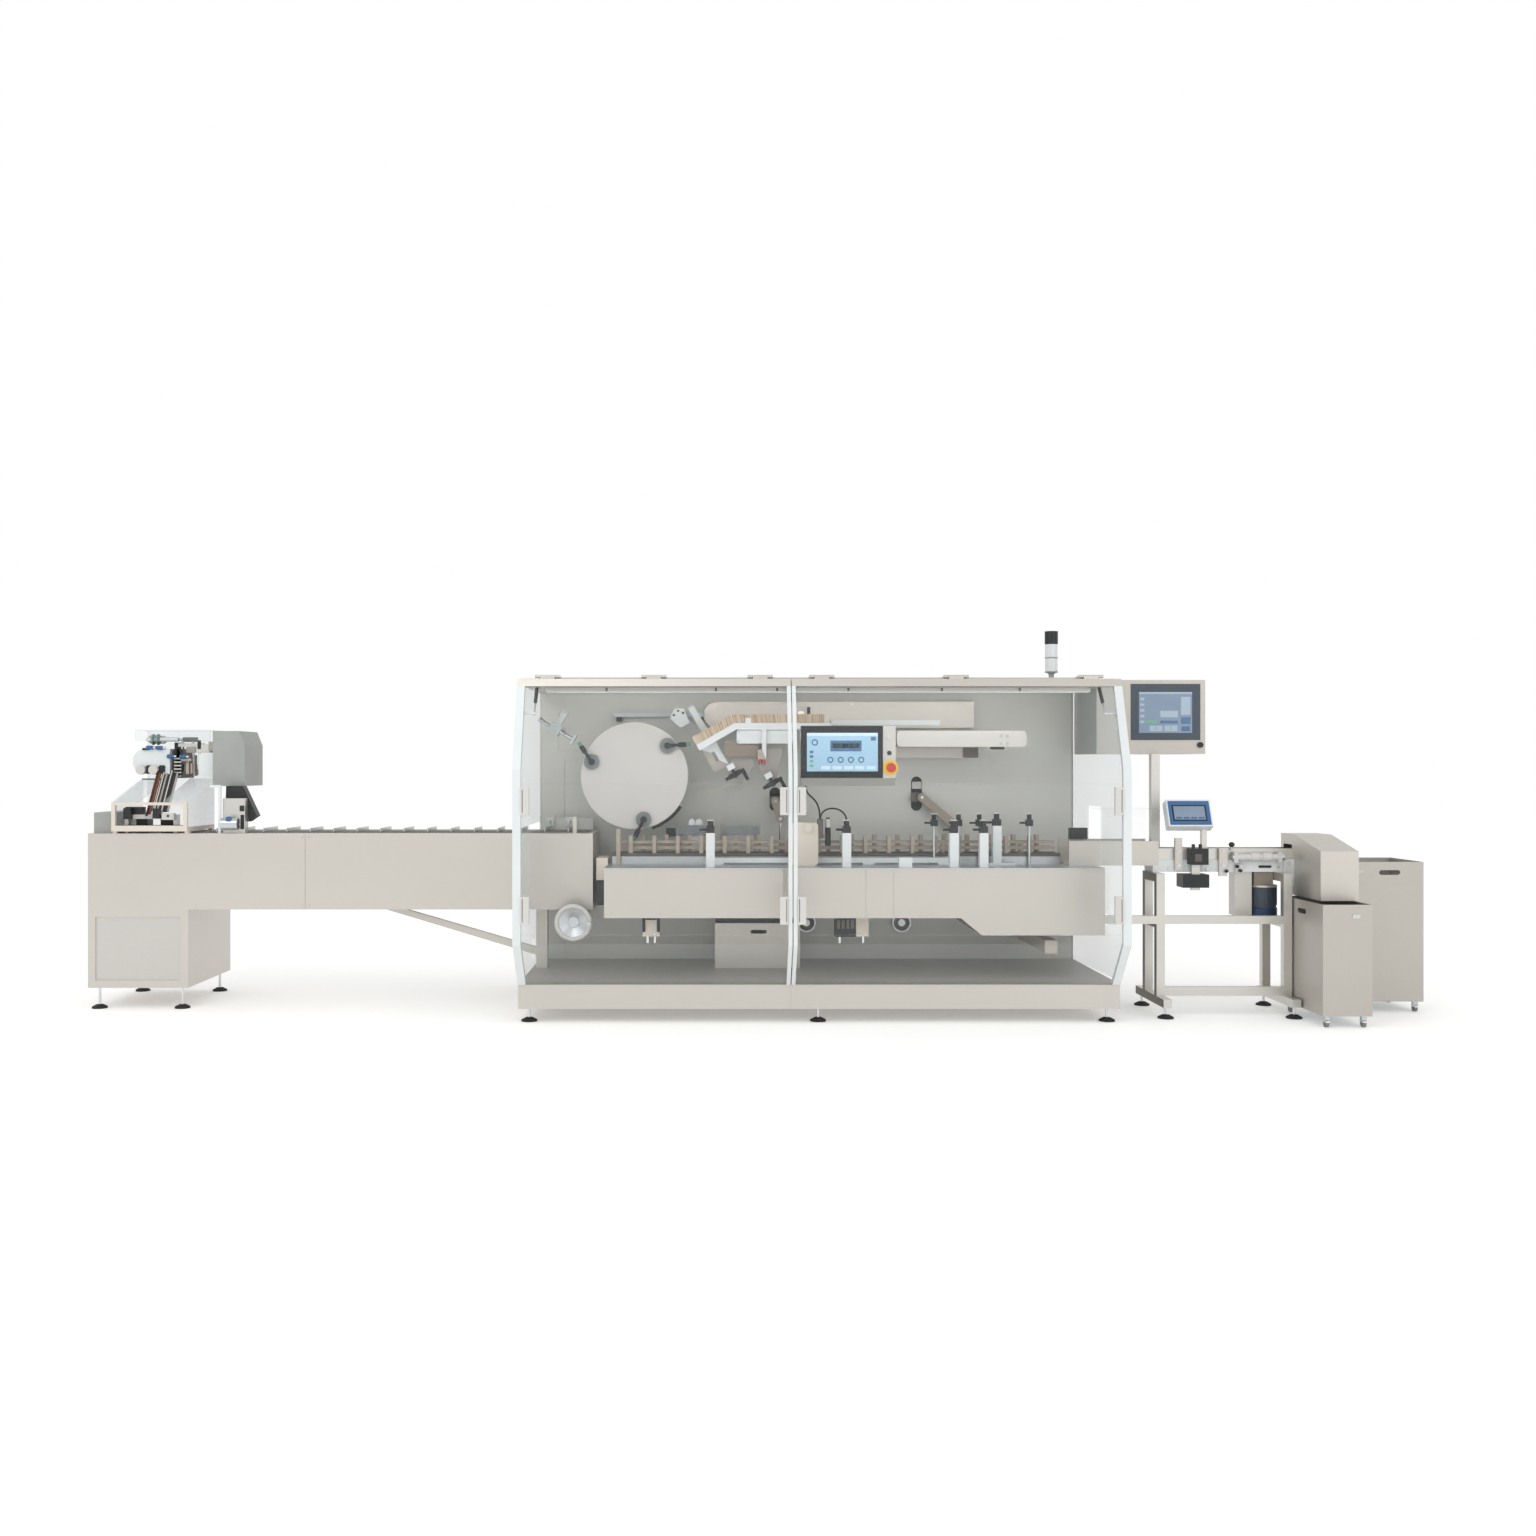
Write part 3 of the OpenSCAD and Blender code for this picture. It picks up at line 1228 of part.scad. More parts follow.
module feeder_frame() color("#e4ddd2") {
    front = [feeder_y[0], feeder_y[0] + frame_t];
    difference() {
        block([feeder_x0, feeder_x1], front, [feeder_zs[0], feeder_zs[1]]);
        block([feeder_x0 + frame_t, feeder_x1 - frame_t], [front[0] - 1, front[1] + 1],
              [feeder_zs[0] + feeder_w, feeder_zs[1] - feeder_w / 2]);
    }
    for (x = [feeder_x0, feeder_x1 - frame_t]) {
        block([x, x + frame_t], [front[1] - 1, feeder_y[1]], [feeder_zs[0], feeder_zs[0] + frame_t]);
        for (y = [on_beam(0), feeder_y[1] - 2 * frame_t])
            block([x, x + frame_t], [y, y + 2 * frame_t], [infeed_z1, feeder_zs[0] + 1]);
    }
    block(grip_x, [on_beam(20), on_beam(32)], [infeed_z1, grip_z1]);
    block([grip_x[0] - 45, grip_x[1]], [on_beam(20), on_beam(32)], [grip_z1 - 14, grip_z1]);
}

lid_x = [feeder_x0 + 41, feeder_x0 + 448];
lid_zs = [infeed_z1 + 487, infeed_z1 + 551];
head_in = 430;
chute_x = [feeder_x0 + 150, feeder_x0 + 257];

// Side sheets, a sloping top on each side of the chute, and the lid over the drive
module feeder_guard() color("#dfe8e8", 0.4) {
    front = feeder_y[0] + frame_t;
    side = [[front, feeder_zs[0] + frame_t], [feeder_y[1], feeder_zs[0] + frame_t],
            [feeder_y[1], feeder_zs[2]], [front, feeder_zs[1]]];
    for (x = [[feeder_x0, feeder_x0 + guard_t], [feeder_x1 - guard_t, feeder_x1]]) along_x(side, x);
    top = band([[front, feeder_zs[1]], [feeder_y[1], feeder_zs[2]]], -guard_t, 0);
    for (x = [[feeder_x0, chute_x[0] - 10], [chute_x[1] + 10, feeder_x1]]) along_x(top, x);
    block(lid_x, [on_beam(200), on_beam(200) + guard_t], lid_zs);
    block(lid_x, [on_beam(200), on_beam(head_in)], [lid_zs[1] - guard_t, lid_zs[1]]);
}

// Parts of the feeder's head as places in X, Y and Z from the frame's left end, the beam's front and its top
end_box = [[-111, -10], [30, 460], [0, 110]];
column = [[20, 378], [head_in, head_in + 50], [0, lid_zs[1] - infeed_z1]];
motor_x = [16, 217];
motor_in = [230, head_in + 1];
motor_zs = [312, 448];
knob_xs = [67, 136];
knob_z = 334;
feed_knob_d = 50;
plate_boxes = [for (x = [232, 265]) [[x, x + 14], [250, head_in + 1], [290, 448]]];
shaft_z = 500;
shaft_in = 330;
shaft_ends = [[[50, 260], 14], [[255, 333], 26]];
roller_x = 108;
roller_d = 46;
bar_box = [[43, 321], [50, 95], [75, 98]];
unit_box = [[45, 140], [52, 93], [97, 138]];
bar_legs = [for (x = [43, 301]) [[x, x + 20], [50, 95], [0, 76]]];
chute_strips = [[150, 172], [186, 192], [227, 233]];
chute_line = [[245, 332], [80, 98], [60, 98], [229, 332]];

module feeder_head() color("#b9bdbf") translate([feeder_x0, on_beam(0), infeed_z1]) {
    r = (motor_zs[1] - motor_zs[0]) / 2;
    for (b = concat([end_box, column, bar_box, unit_box], plate_boxes, bar_legs)) block(b[0], b[1], b[2]);
    block([motor_x[0] + r, motor_x[1]], motor_in, motor_zs);
    rod_y(motor_x[0] + r, motor_zs[0] + r, motor_in, 2 * r);
    for (x = knob_xs) rod_y(x, knob_z, [motor_in[0] - 30, motor_in[0] + 1], feed_knob_d);
    rod_y(roller_x, shaft_z, [260, motor_in[1]], roller_d);
    for (s = shaft_ends) rod_x(shaft_in, shaft_z, s[0], s[1]);
    for (x = chute_strips) along_x(chute_line, x);
}

hood_left = feeder_x1 + 82;
hood_w = 171;
cap_zs = [infeed_z1 + 248, infeed_z1 + 543];
cap_y = [on_beam(140), on_beam(460)];
foot_box = [[hood_left + 86, hood_left + 204], [on_beam(40), on_beam(95)]];

module feeder_hood() color("#a3a5a3") {
    along_y([[hood_left, cap_zs[0]], [hood_left, cap_zs[1]], [hood_left + hood_w - 30, cap_zs[1]],
             [hood_left + hood_w, cap_zs[1] - 75], [hood_left + hood_w, cap_zs[0]]], cap_y);
    block([hood_left - 90, hood_left + 1], [on_beam(180), on_beam(190)], [cap_zs[0] + 46, cap_zs[0] + 174]);
    along_y([for (p = [[89, 1], [178, 1], [253, -158], [208, -189], [200, -70], [87, -64]])
        [hood_left + p[0], cap_zs[0] + p[1]]], [foot_box[1][1] - 10, cap_y[0] + 10]);
    block(foot_box[0], foot_box[1], [infeed_z1, cap_zs[0] - 64]);
    rod_x(foot_box[1][0] - 28, infeed_z1 + 50, [hood_left + 88, hood_left + 177], 60);
}

// Outfeed: trough with a clear cover, conveyor on a stand, monitor, hood and bins

trough_x = [half_l - 170, conveyor_x[0] + 29];
trough_y = [at(350), at(600)];
trough_z1 = 889;
trough_t = 12;
cover_z = 1058;
cover_in = 10;

module outfeed_trough() color("#cfc9bf") difference() {
    block(trough_x, trough_y, [table_z, trough_z1]);
    block([trough_x[0] - 1, trough_x[1] + 1], [trough_y[0] + trough_t, trough_y[1] - trough_t],
          [table_z + trough_t, trough_z1 + 1]);
}

module trough_cover() color("#dfe8e8", 0.4) difference() {
    block([half_l + cover_in, trough_x[1]], trough_y, [trough_z1, cover_z]);
    block([half_l + cover_in - 1, trough_x[1] + 1], [trough_y[0] + guard_t, trough_y[1] - guard_t],
          [trough_z1 - 1, cover_z - guard_t]);
}

conveyor_y = [at(350), at(505)];
rail_step = 6;
side_t = 14;
rail_z0 = conveyor_z0 + 62;
belt_z = conveyor_z1 - 50;

module outfeed_conveyor() color("#d7d6d2") {
    block([conveyor_x[0], trough_x[1] + 1], conveyor_y, [conveyor_z0, table_z]);
    block([trough_x[1], conveyor_x[1]], conveyor_y, [conveyor_z0, rail_z0]);
    block([trough_x[1], conveyor_x[1]], [conveyor_y[0] + rail_step, conveyor_y[1] - rail_step],
          [rail_z0 - 1, belt_z]);
    for (y = [conveyor_y[0] + rail_step, conveyor_y[1] - rail_step - side_t])
        block([trough_x[1], conveyor_x[1]], [y, y + side_t], [rail_z0 - 1, conveyor_z1]);
}

// Units on the conveyor as boxes in X, Y and Z from the left end of its front lower edge
clamp_boxes = [[[110, 146], [-20, 0], [10, 177]], [[339, 381], [-20, 0], [-21, 125]]];
camera_boxes = [[[178, 267], [-70, 0], [41, 125]], [[193, 235], [-30, 0], [-94, 42]],
                [[141, 277], [-50, 60], [-79, -11]]];
cylinder_x = [402, 673];
cylinder_d = 34;
cylinder_at = [-25, 78];
holder_boxes = [for (x = [410, 640]) [[x, x + 20], [-42, 0], [52, 104]]];
end_plate = [[676, conveyor_l], [-10, 0], [-73, 67]];
drive_boxes = [[[433, 522], [20, 110], [-230, 0]], [[532, 630], [10, 130], [-73, 0]]];
motor_at = [595, 70];
motor_d = 140;
motor_drop = [-235, -72];
printer_post = [[240, 266], [-45, -15], [124, 282]];
printer = [230, 60, 150];
printer_at = [172, -30, 297];
printer_tilt = 25;

// Clamps, camera, cylinder, gearbox and motor on the conveyor, and the printer's panel above it
module conveyor_units() color("#55585a") translate([conveyor_x[0], conveyor_y[0], conveyor_z0]) {
    for (b = concat(clamp_boxes, camera_boxes, holder_boxes, drive_boxes, [end_plate, printer_post]))
        block(b[0], b[1], b[2]);
    rod_x(cylinder_at[0], cylinder_at[1], cylinder_x, cylinder_d);
    rod_z(motor_at[0], motor_at[1], motor_drop, motor_d);
    translate(printer_at) rotate([-printer_tilt, 0, 0]) cube(printer, center = true);
}

stand_xs = [conveyor_x[0] - 20, conveyor_x[1] - 100];
stand_front = at(220);
stand_backs = [at(470), at(560)];
stand_foot_ys = [at(140), at(560)];
stand_base = [at(100), at(600)];
stand_z0 = 58;
bar_h = 42;
rung_zs = [450, 490];
rail_zs = [[470, 511], [101, 147]];

// Two ladder legs joined by front rails, the upper one carried on to the machine
module outfeed_stand() color("#c9c5bd") {
    for (i = [0, 1]) {
        x = [stand_xs[i], stand_xs[i] + post_w];
        block(x, stand_base, [stand_z0, stand_z0 + bar_h]);
        for (y = [stand_front, stand_backs[i] - post_w])
            block(x, [y, y + post_w], [stand_z0 + bar_h - 1, conveyor_z0]);
        for (z = [[conveyor_z0 - post_w, conveyor_z0], rung_zs])
            block(x, [stand_front + 1, stand_backs[i] - 1], z);
    }
    for (i = [0, 1])
        block([i == 0 ? housing_x[1] : stand_xs[0] + 1, stand_xs[1] + 1],
              [stand_front, stand_front + post_w], rail_zs[i]);
}

monitor_x = [half_l + 20, half_l + 600];
monitor_y = [at(530), at(1020)];
monitor_zs = [1345, 1740];
mast_x = [half_l + 305, half_l + 350];
mast_y = [conveyor_y[1], conveyor_y[1] + 45];
bezel_x = [monitor_x[0] + 183, monitor_x[1] - 28];
bezel_zs = [1419, 1718];
bezel_t = 5;
lock_d = 30;

module monitor_cabinet() color("#d6cec4") {
    block(monitor_x, monitor_y, monitor_zs);
    block(bezel_x, [monitor_y[0] - bezel_t, monitor_y[0] + 1], bezel_zs);
    rod_y(bezel_x[1], monitor_zs[0] + 48, [monitor_y[0] - 12, monitor_y[0] + 1], lock_d);
    block(mast_x, mast_y, [conveyor_z0, monitor_zs[0]]);
    block(mast_x, [monitor_y[0], mast_y[1]], [conveyor_z0, monitor_zs[0] + 1]);
}

hood_x = [conveyor_x[1], conveyor_x[1] + 190];
hood_y = [at(0), at(330), at(520)];
hood_zs = [608, 855, 924];

function hood_line(t, drop) = [[hood_y[0] + t, hood_zs[0] - drop], [hood_y[0] + t, hood_zs[1] - t],
    [hood_y[1], hood_zs[2] - t], [hood_y[2] - t, hood_zs[2] - t], [hood_y[2] - t, hood_zs[0] - drop]];

module reject_hood() color("#cdc7be") difference() {
    along_x(hood_line(0, 0), hood_x);
    along_x(hood_line(sheet_t, 1), [hood_x[0] + sheet_t, hood_x[1] - sheet_t]);
    block([hood_x[0] - 1, hood_x[0] + sheet_t + 1],
          [conveyor_y[0] + rail_step + side_t, conveyor_y[1] - rail_step - side_t],
          [belt_z, conveyor_z1 + 20]);
}

castor_d = 40;
castor_w = 16;
castor_in = [30, 35];
fork_w = 24;

// Open bin on four castors
module bin(x, y, z) {
    difference() {
        block(x, y, z);
        block([x[0] + sheet_t, x[1] - sheet_t], [y[0] + sheet_t, y[1] - sheet_t],
              [z[0] + sheet_t, z[1] + 1]);
    }
    for (cx = [x[0] + castor_in[0], x[1] - castor_in[0]], cy = [y[0] + castor_in[1], y[1] - castor_in[1]]) {
        rod_x(cy, castor_d / 2, span(cx, castor_w), castor_d);
        block(span(cx, fork_w), span(cy, fork_w), [castor_d / 2 + 4, z[0] + 1]);
    }
}

front_bin_x = [conveyor_x[1] - 50, conveyor_x[1] + 192];
front_bin_y = [at(-150), at(370)];
front_bin_zs = [58, 603];
rear_bin_x = [conveyor_x[1] + 300, conveyor_x[1] + 665];
rear_bin_y = [at(320), at(695)];
rear_bin_zs = [56, 782];
bin_grip = 110;
bin_grip_w = 25;
rear_grip_in = 134;
bin_grip_drop = 55;

module front_bin() color("#c8c1b8") difference() {
    bin(front_bin_x, front_bin_y, front_bin_zs);
    level_slot_x([front_bin_x[0] - 1, front_bin_x[0] + sheet_t + 1], [at(60), at(60) + bin_grip],
                 front_bin_zs[1] - bin_grip_drop, bin_grip_w);
}

module rear_bin() color("#c8c1b8") difference() {
    bin(rear_bin_x, rear_bin_y, rear_bin_zs);
    level_slot_y([rear_bin_x[0] + rear_grip_in, rear_bin_x[0] + rear_grip_in + bin_grip],
                 [rear_bin_y[0] - 1, rear_bin_y[0] + sheet_t + 1],
                 rear_bin_zs[1] - bin_grip_drop, bin_grip_w);
}

base_skirt();
deck_pan();
back_wall();
rear_housing();
roof();
roof_light();
levelling_feet();
left_side_panel();
right_side_panel();
roof_brackets();
left_door_glass();
left_door_frame();
left_door_handles();
right_door_glass();
right_door_frame();
right_door_handles();
left_strut_cylinder();
left_strut_rod();
right_strut_cylinder();
right_strut_rod();
transport_housing();
transport_table();
carton_chain();
guide_rails();
adjuster_posts();
position_indicators();
actuators();
waste_box();
rotor_disc();
suction_arm_1();
suction_arm_2();
suction_arm_3();
pre_opener();
magazine_chute();
carton_stack();
magazine_drive();
left_crank();
right_crank();
wall_covers();
hmi_panel();
handwheel();
stack_light();
cables();
infeed_beam();
infeed_cabinet();
bucket_chain();
infeed_supports();
feeder_frame();
feeder_guard();
feeder_head();
feeder_hood();
outfeed_trough();
trough_cover();
outfeed_conveyor();
conveyor_units();
outfeed_stand();
monitor_cabinet();
reject_hood();
front_bin();
rear_bin();
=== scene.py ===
import json
import math

import bmesh
import bpy
from mathutils import Matrix, Vector


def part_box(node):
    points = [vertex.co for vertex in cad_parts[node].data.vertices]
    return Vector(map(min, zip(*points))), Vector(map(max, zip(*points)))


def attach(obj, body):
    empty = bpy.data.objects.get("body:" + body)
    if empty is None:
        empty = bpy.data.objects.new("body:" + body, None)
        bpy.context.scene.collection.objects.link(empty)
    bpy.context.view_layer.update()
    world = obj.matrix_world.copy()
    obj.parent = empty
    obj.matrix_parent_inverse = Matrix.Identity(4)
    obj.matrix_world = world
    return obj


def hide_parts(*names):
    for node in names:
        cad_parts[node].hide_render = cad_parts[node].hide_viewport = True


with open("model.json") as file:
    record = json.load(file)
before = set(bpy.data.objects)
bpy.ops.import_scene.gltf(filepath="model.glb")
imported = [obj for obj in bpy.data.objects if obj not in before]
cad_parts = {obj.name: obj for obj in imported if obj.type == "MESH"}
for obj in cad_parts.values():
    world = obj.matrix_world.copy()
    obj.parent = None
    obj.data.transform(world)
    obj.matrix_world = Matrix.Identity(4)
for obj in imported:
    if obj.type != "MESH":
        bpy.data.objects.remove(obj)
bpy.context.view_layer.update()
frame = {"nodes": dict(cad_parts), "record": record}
cad = frame["nodes"]
mm = 0.001
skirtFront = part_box("base_skirt")[0].y
print("frame loaded, nodes:", len(cad))


# Small tools

def linear(code):  # sRGB hex to linear colour
    parts = [int(code[i:i + 2], 16) / 255 for i in (1, 3, 5)]
    return [p / 12.92 if p <= 0.04045 else ((p + 0.055) / 1.055) ** 2.4 for p in parts] + [1.0]


def addNode(tree, kind, inputs=None, **settings):  # one node with its settings and links
    made = tree.nodes.new(kind)
    for key, value in settings.items():
        setattr(made, key, value)
    for key, value in (inputs or {}).items():
        if isinstance(value, bpy.types.NodeSocket):
            tree.links.new(value, made.inputs[key])
        else:
            made.inputs[key].default_value = value
    return made


def setback(depth):  # place along Y from the skirt's front plane, in mm
    return skirtFront + depth * mm


def spot(x, depth, z):  # place from mm along X, back from the skirt and up
    return Vector((x * mm, setback(depth), z * mm))


# Materials

def surface(name, tones, patchMm, rough, grainMm, grainDepth=0.1, stretch=(1, 1, 1), **sockets):
    material = bpy.data.materials.new(name)
    material.use_nodes = True
    tree = material.node_tree
    tree.nodes.clear()
    place = addNode(tree, "ShaderNodeTexCoord")
    drawn = addNode(tree, "ShaderNodeMapping", {"Vector": place.outputs["Object"], "Scale": stretch})
    patch = addNode(tree, "ShaderNodeTexNoise",
                    {"Vector": drawn.outputs[0], "Scale": 1000 / patchMm, "Detail": 3.0, "Roughness": 0.55})
    grain = addNode(tree, "ShaderNodeTexNoise",
                    {"Vector": drawn.outputs[0], "Scale": 1000 / grainMm, "Detail": 4.0, "Roughness": 0.6})
    tone = addNode(tree, "ShaderNodeMix", {"Factor": patch.outputs["Fac"], 6: linear(tones[0]), 7: linear(tones[1])},
                   data_type="RGBA")
    gloss = addNode(tree, "ShaderNodeMapRange",
                    {"Value": grain.outputs["Fac"], "From Min": 0.25, "From Max": 0.75,
                     "To Min": rough[0], "To Max": rough[1]})
    bump = addNode(tree, "ShaderNodeBump", {"Height": grain.outputs["Fac"], "Strength": grainDepth,
                                            "Distance": grainMm * mm})
    shader = addNode(tree, "ShaderNodeBsdfPrincipled",
                     {"Base Color": tone.outputs[2], "Roughness": gloss.outputs[0], "Normal": bump.outputs[0],
                      **sockets})
    addNode(tree, "ShaderNodeOutputMaterial", {"Surface": shader.outputs[0]})
    return material


def clearSheet(name, tint, thin, edge):  # clear flat on, paler and shinier at a slant
    material = bpy.data.materials.new(name)
    material.use_nodes = True
    tree = material.node_tree
    tree.nodes.clear()
    place = addNode(tree, "ShaderNodeTexCoord")
    wipeMm, rough, blend = 420, (0.02, 0.09), 0.12  # width of wiping marks, their gloss and how late the slant shows
    wipe = addNode(tree, "ShaderNodeTexNoise", {"Vector": place.outputs["Object"], "Scale": 1000 / wipeMm,
                                                "Detail": 2.0})
    gloss = addNode(tree, "ShaderNodeMapRange", {"Value": wipe.outputs["Fac"], "To Min": rough[0], "To Max": rough[1]})
    slant = addNode(tree, "ShaderNodeLayerWeight", {"Blend": blend})
    cover = addNode(tree, "ShaderNodeMapRange",
                    {"Value": slant.outputs["Facing"], "To Min": thin, "To Max": edge})
    shader = addNode(tree, "ShaderNodeBsdfPrincipled",
                     {"Base Color": linear(tint), "Roughness": gloss.outputs[0], "Alpha": cover.outputs[0],
                      "IOR": 1.49})
    addNode(tree, "ShaderNodeOutputMaterial", {"Surface": shader.outputs[0]})
    return material


# Brush lines are finer than a pixel here, so they are drawn some 10 mm wide to show at all
satinWarm = surface("stainlessSatinWarm", ("#c3c0b8", "#d1cbc4"), 800, (0.34, 0.46), 12, 0.04,
                    (0.5, 0.5, 0.8), Metallic=0.75)  # upright tone patches: painted soft sheen of the panels
satinWall = surface("stainlessSatinWall", ("#cdcec8", "#d8d9d3"), 600, (0.38, 0.5), 14, 0.03,
                    (1.4, 1.4, 0.1), Metallic=0.25)  # cooler rear wall, its tone stretched into tall upright bands: painted soft light bands
satinDeck = surface("stainlessSatinDeck", ("#9c9893", "#aaa6a1"), 500, (0.42, 0.55), 14, 0.05,
                    (0.12, 1.6, 1.6), Metallic=0.25)  # scuffed deck, its darker tone a painted reflection of the dim chamber
whiteCoat = surface("powderCoatWhite", ("#d3d8d9", "#dfe3e3"), 220, (0.28, 0.4), 2.5, 0.06)  # fine orange peel
creamCoat = surface("powderCoatCream", ("#d0c7ba", "#dad2c6"), 220, (0.34, 0.46), 2.5, 0.06)  # warm coated housings
blueWhite = surface("powderCoatBlueWhite", ("#cddbe4", "#dfe9ee"), 200, (0.25, 0.36), 2.5, 0.05)  # cold light rail
acrylic = clearSheet("castAcrylicClear", "#e8eeee", 0.02, 0.4)  # door and end panels
endSheet = clearSheet("acrylicEndPanel", "#cbd8db", 0.1, 0.5)  # bluish ends of the chamber
guardSheet = clearSheet("polycarbonateGuard", "#c9d2d4", 0.11, 0.7)  # hazier guard of the feeder
smoke = clearSheet("castAcrylicSmoke", "#8f9698", 0.62, 0.85)  # grey washers
brushed = surface("stainlessBrushed", ("#b9bdc0", "#cdd1d3"), 160, (0.24, 0.38), 6, 0.015, (0.15, 1, 1),
                  Metallic=1.0)  # long brush lines
anodised = surface("aluminiumAnodised", ("#c6c4be", "#d6d4ce"), 240, (0.32, 0.44), 5, 0.012, (0.3, 1, 1),
                   Metallic=0.85)  # drawn profile lines
satinCoolAndShade = surface("stainlessSatinCoolAndShade", ("#c3c1bc", "#cdcac5"), 500, (0.36, 0.48), 12, 0.04,
                    (0.5, 0.5, 0.8), Metallic=0.75)  # cooler satin; on the infeed door's recessed field it is painted shade
satinShade = surface("stainlessSatinShade", ("#b3b0a9", "#c0bab3"), 600, (0.36, 0.48), 12, 0.04,
                     (0.5, 0.5, 0.8), Metallic=0.75)  # darker copy of the warm satin: painted shade on the bins and monitor cabinet
dullSteel = surface("steelDull", ("#a09b95", "#b0aba5"), 120, (0.4, 0.52), 6, 0.02, Metallic=0.4)  # hanging plates
taupeCoat = surface("powderCoatTaupe", ("#7d7267", "#8e8377"), 120, (0.4, 0.55), 2.5, 0.08)  # gear motor
darkSteelAndShade = surface("steelOiledAndShade", ("#5d5954", "#6f6a63"), 90, (0.35, 0.5), 3, 0.08, Metallic=0.8)  # rollers and links; also painted shade on the outfeed stand's left faces
blackAcetalAndShade = surface("acetalBlackAndShade", ("#17181a", "#25272a"), 60, (0.34, 0.5), 1.5, 0.08)  # machined black; also painted shade in the wall slots and at the waste box's open top
greyRubber = surface("rubberGrey", ("#77736e", "#86827d"), 40, (0.55, 0.7), 1.5, 0.1)  # castor tyres
blackRubber = surface("rubberBlack", ("#1a1a1a", "#272727"), 40, (0.6, 0.78), 2, 0.15)  # dull moulded
chromed = surface("steelChromed", ("#c9cccf", "#dddfe1"), 50, (0.08, 0.16), 3, 0.02, Metallic=1.0)  # bright rods
kraft = surface("boardKraft", ("#b99b80", "#ccb49a"), 22, (0.7, 0.85), 2.4, 0.2)  # fibre flecks of folded flats
boardWhite = surface("boardPale", ("#d9c7ac", "#e4d6c0"), 22, (0.7, 0.85), 2.4, 0.2)  # paler flats between
screenGlass = surface("glassScreenBlack", ("#08090b", "#0d0f13"), 90, (0.04, 0.09), 8, 0.01)  # deep gloss border
whiteAcetal = surface("acetalWhite", ("#c5c3bf", "#d1cfcb"), 260, (0.36, 0.48), 2, 0.05)  # disc and blocks
tanAcetal = surface("acetalTan", ("#9f9486", "#b6ab9d"), 90, (0.42, 0.56), 2, 0.08)  # worn tan guides
greyCoat = surface("powderCoatGrey", ("#949693", "#a2a4a1"), 200, (0.4, 0.52), 2.5, 0.07)  # hood
slateCoat = surface("powderCoatSlate", ("#39424c", "#47515c"), 160, (0.35, 0.48), 2.5, 0.06)  # monitor bezel
blueCoat = surface("powderCoatBlue", ("#2c5a8a", "#3a6c9e"), 120, (0.32, 0.44), 2, 0.06)  # motor covers
navyCoat = surface("powderCoatNavy", ("#1f3350", "#2a4265"), 120, (0.32, 0.44), 2, 0.06)  # fan cover of the motor
yellowCoat = surface("plasticYellow", ("#e9bd16", "#f2cb2b"), 40, (0.3, 0.4), 1.5, 0.05)  # stop collar
redPlastic = surface("plasticRed", ("#b8262a", "#cd3b36"), 30, (0.28, 0.4), 1.5, 0.05)  # stop knob, plugs
greenRubber = surface("rubberGreen", ("#4d8f6c", "#64a884"), 25, (0.5, 0.62), 1.5, 0.1)  # suction cups
rustChain = surface("plasticRust", ("#8d4a3a", "#a2604c"), 20, (0.45, 0.6), 2, 0.15)  # feed strip
diffuser = surface("acrylicOpal", ("#dbe8f0", "#eaf3f8"), 90, (0.3, 0.4), 2, 0.03,
                   **{"Emission Color": linear("#e6f1fa"), "Emission Strength": 0.35})  # lamp's cold glow
lensClear = surface("lensFrosted", ("#e9edf0", "#f6f8f9"), 30, (0.12, 0.2), 3, 0.08,
                    **{"Transmission Weight": 0.25})  # unlit lamp lenses
screenPale = surface("screenPale", ("#8db3cb", "#9fc1d6"), 120, (0.08, 0.12), 6, 0.01,
                     **{"Emission Color": linear("#9cc0d6"), "Emission Strength": 0.12})  # lit page
screenSlate = surface("screenSlate", ("#74869c", "#8a9bb0"), 160, (0.25, 0.35), 3, 0.01)  # dusk page
screenMist = surface("screenMist", ("#9aacbd", "#aabac8"), 160, (0.25, 0.35), 3, 0.01)  # dull tiles
screenTile = surface("screenTile", ("#b6d0e0", "#c4dae7"), 60, (0.08, 0.12), 6, 0.01,
                     **{"Emission Color": linear("#bcd5e4"), "Emission Strength": 0.12})  # pale buttons
screenInk = surface("screenInk", ("#3f5f80", "#52769a"), 60, (0.08, 0.12), 6, 0.01,
                    **{"Emission Color": linear("#4b6b8c"), "Emission Strength": 0.05})  # dark drawing on the page
screenGreen = surface("screenGreen", ("#5d9c78", "#74b18d"), 60, (0.08, 0.12), 6, 0.01,
                      **{"Emission Color": linear("#69a884"), "Emission Strength": 0.05})  # running state
print("materials:", len(bpy.data.materials))

slotFinish = {
    "painted_beige": satinWarm, "wall_grey": satinWall, "deck_grey": satinDeck, "white_paint": whiteCoat,
    "clear_sheet": acrylic, "stainless": brushed, "aluminium_profile": anodised, "black_plastic": blackAcetalAndShade,
    "black_rubber": blackRubber, "polished_rod": chromed, "kraft_board": kraft, "screen_glass": screenGlass,
    "white_plastic": whiteAcetal, "tan_plastic": tanAcetal, "hood_grey": greyCoat,
}
for part in frame["record"]["subparts"]:
    slots = cad[part["node"]].data.materials
    slots.clear()
    slots.append(slotFinish[part["material_slot"]])


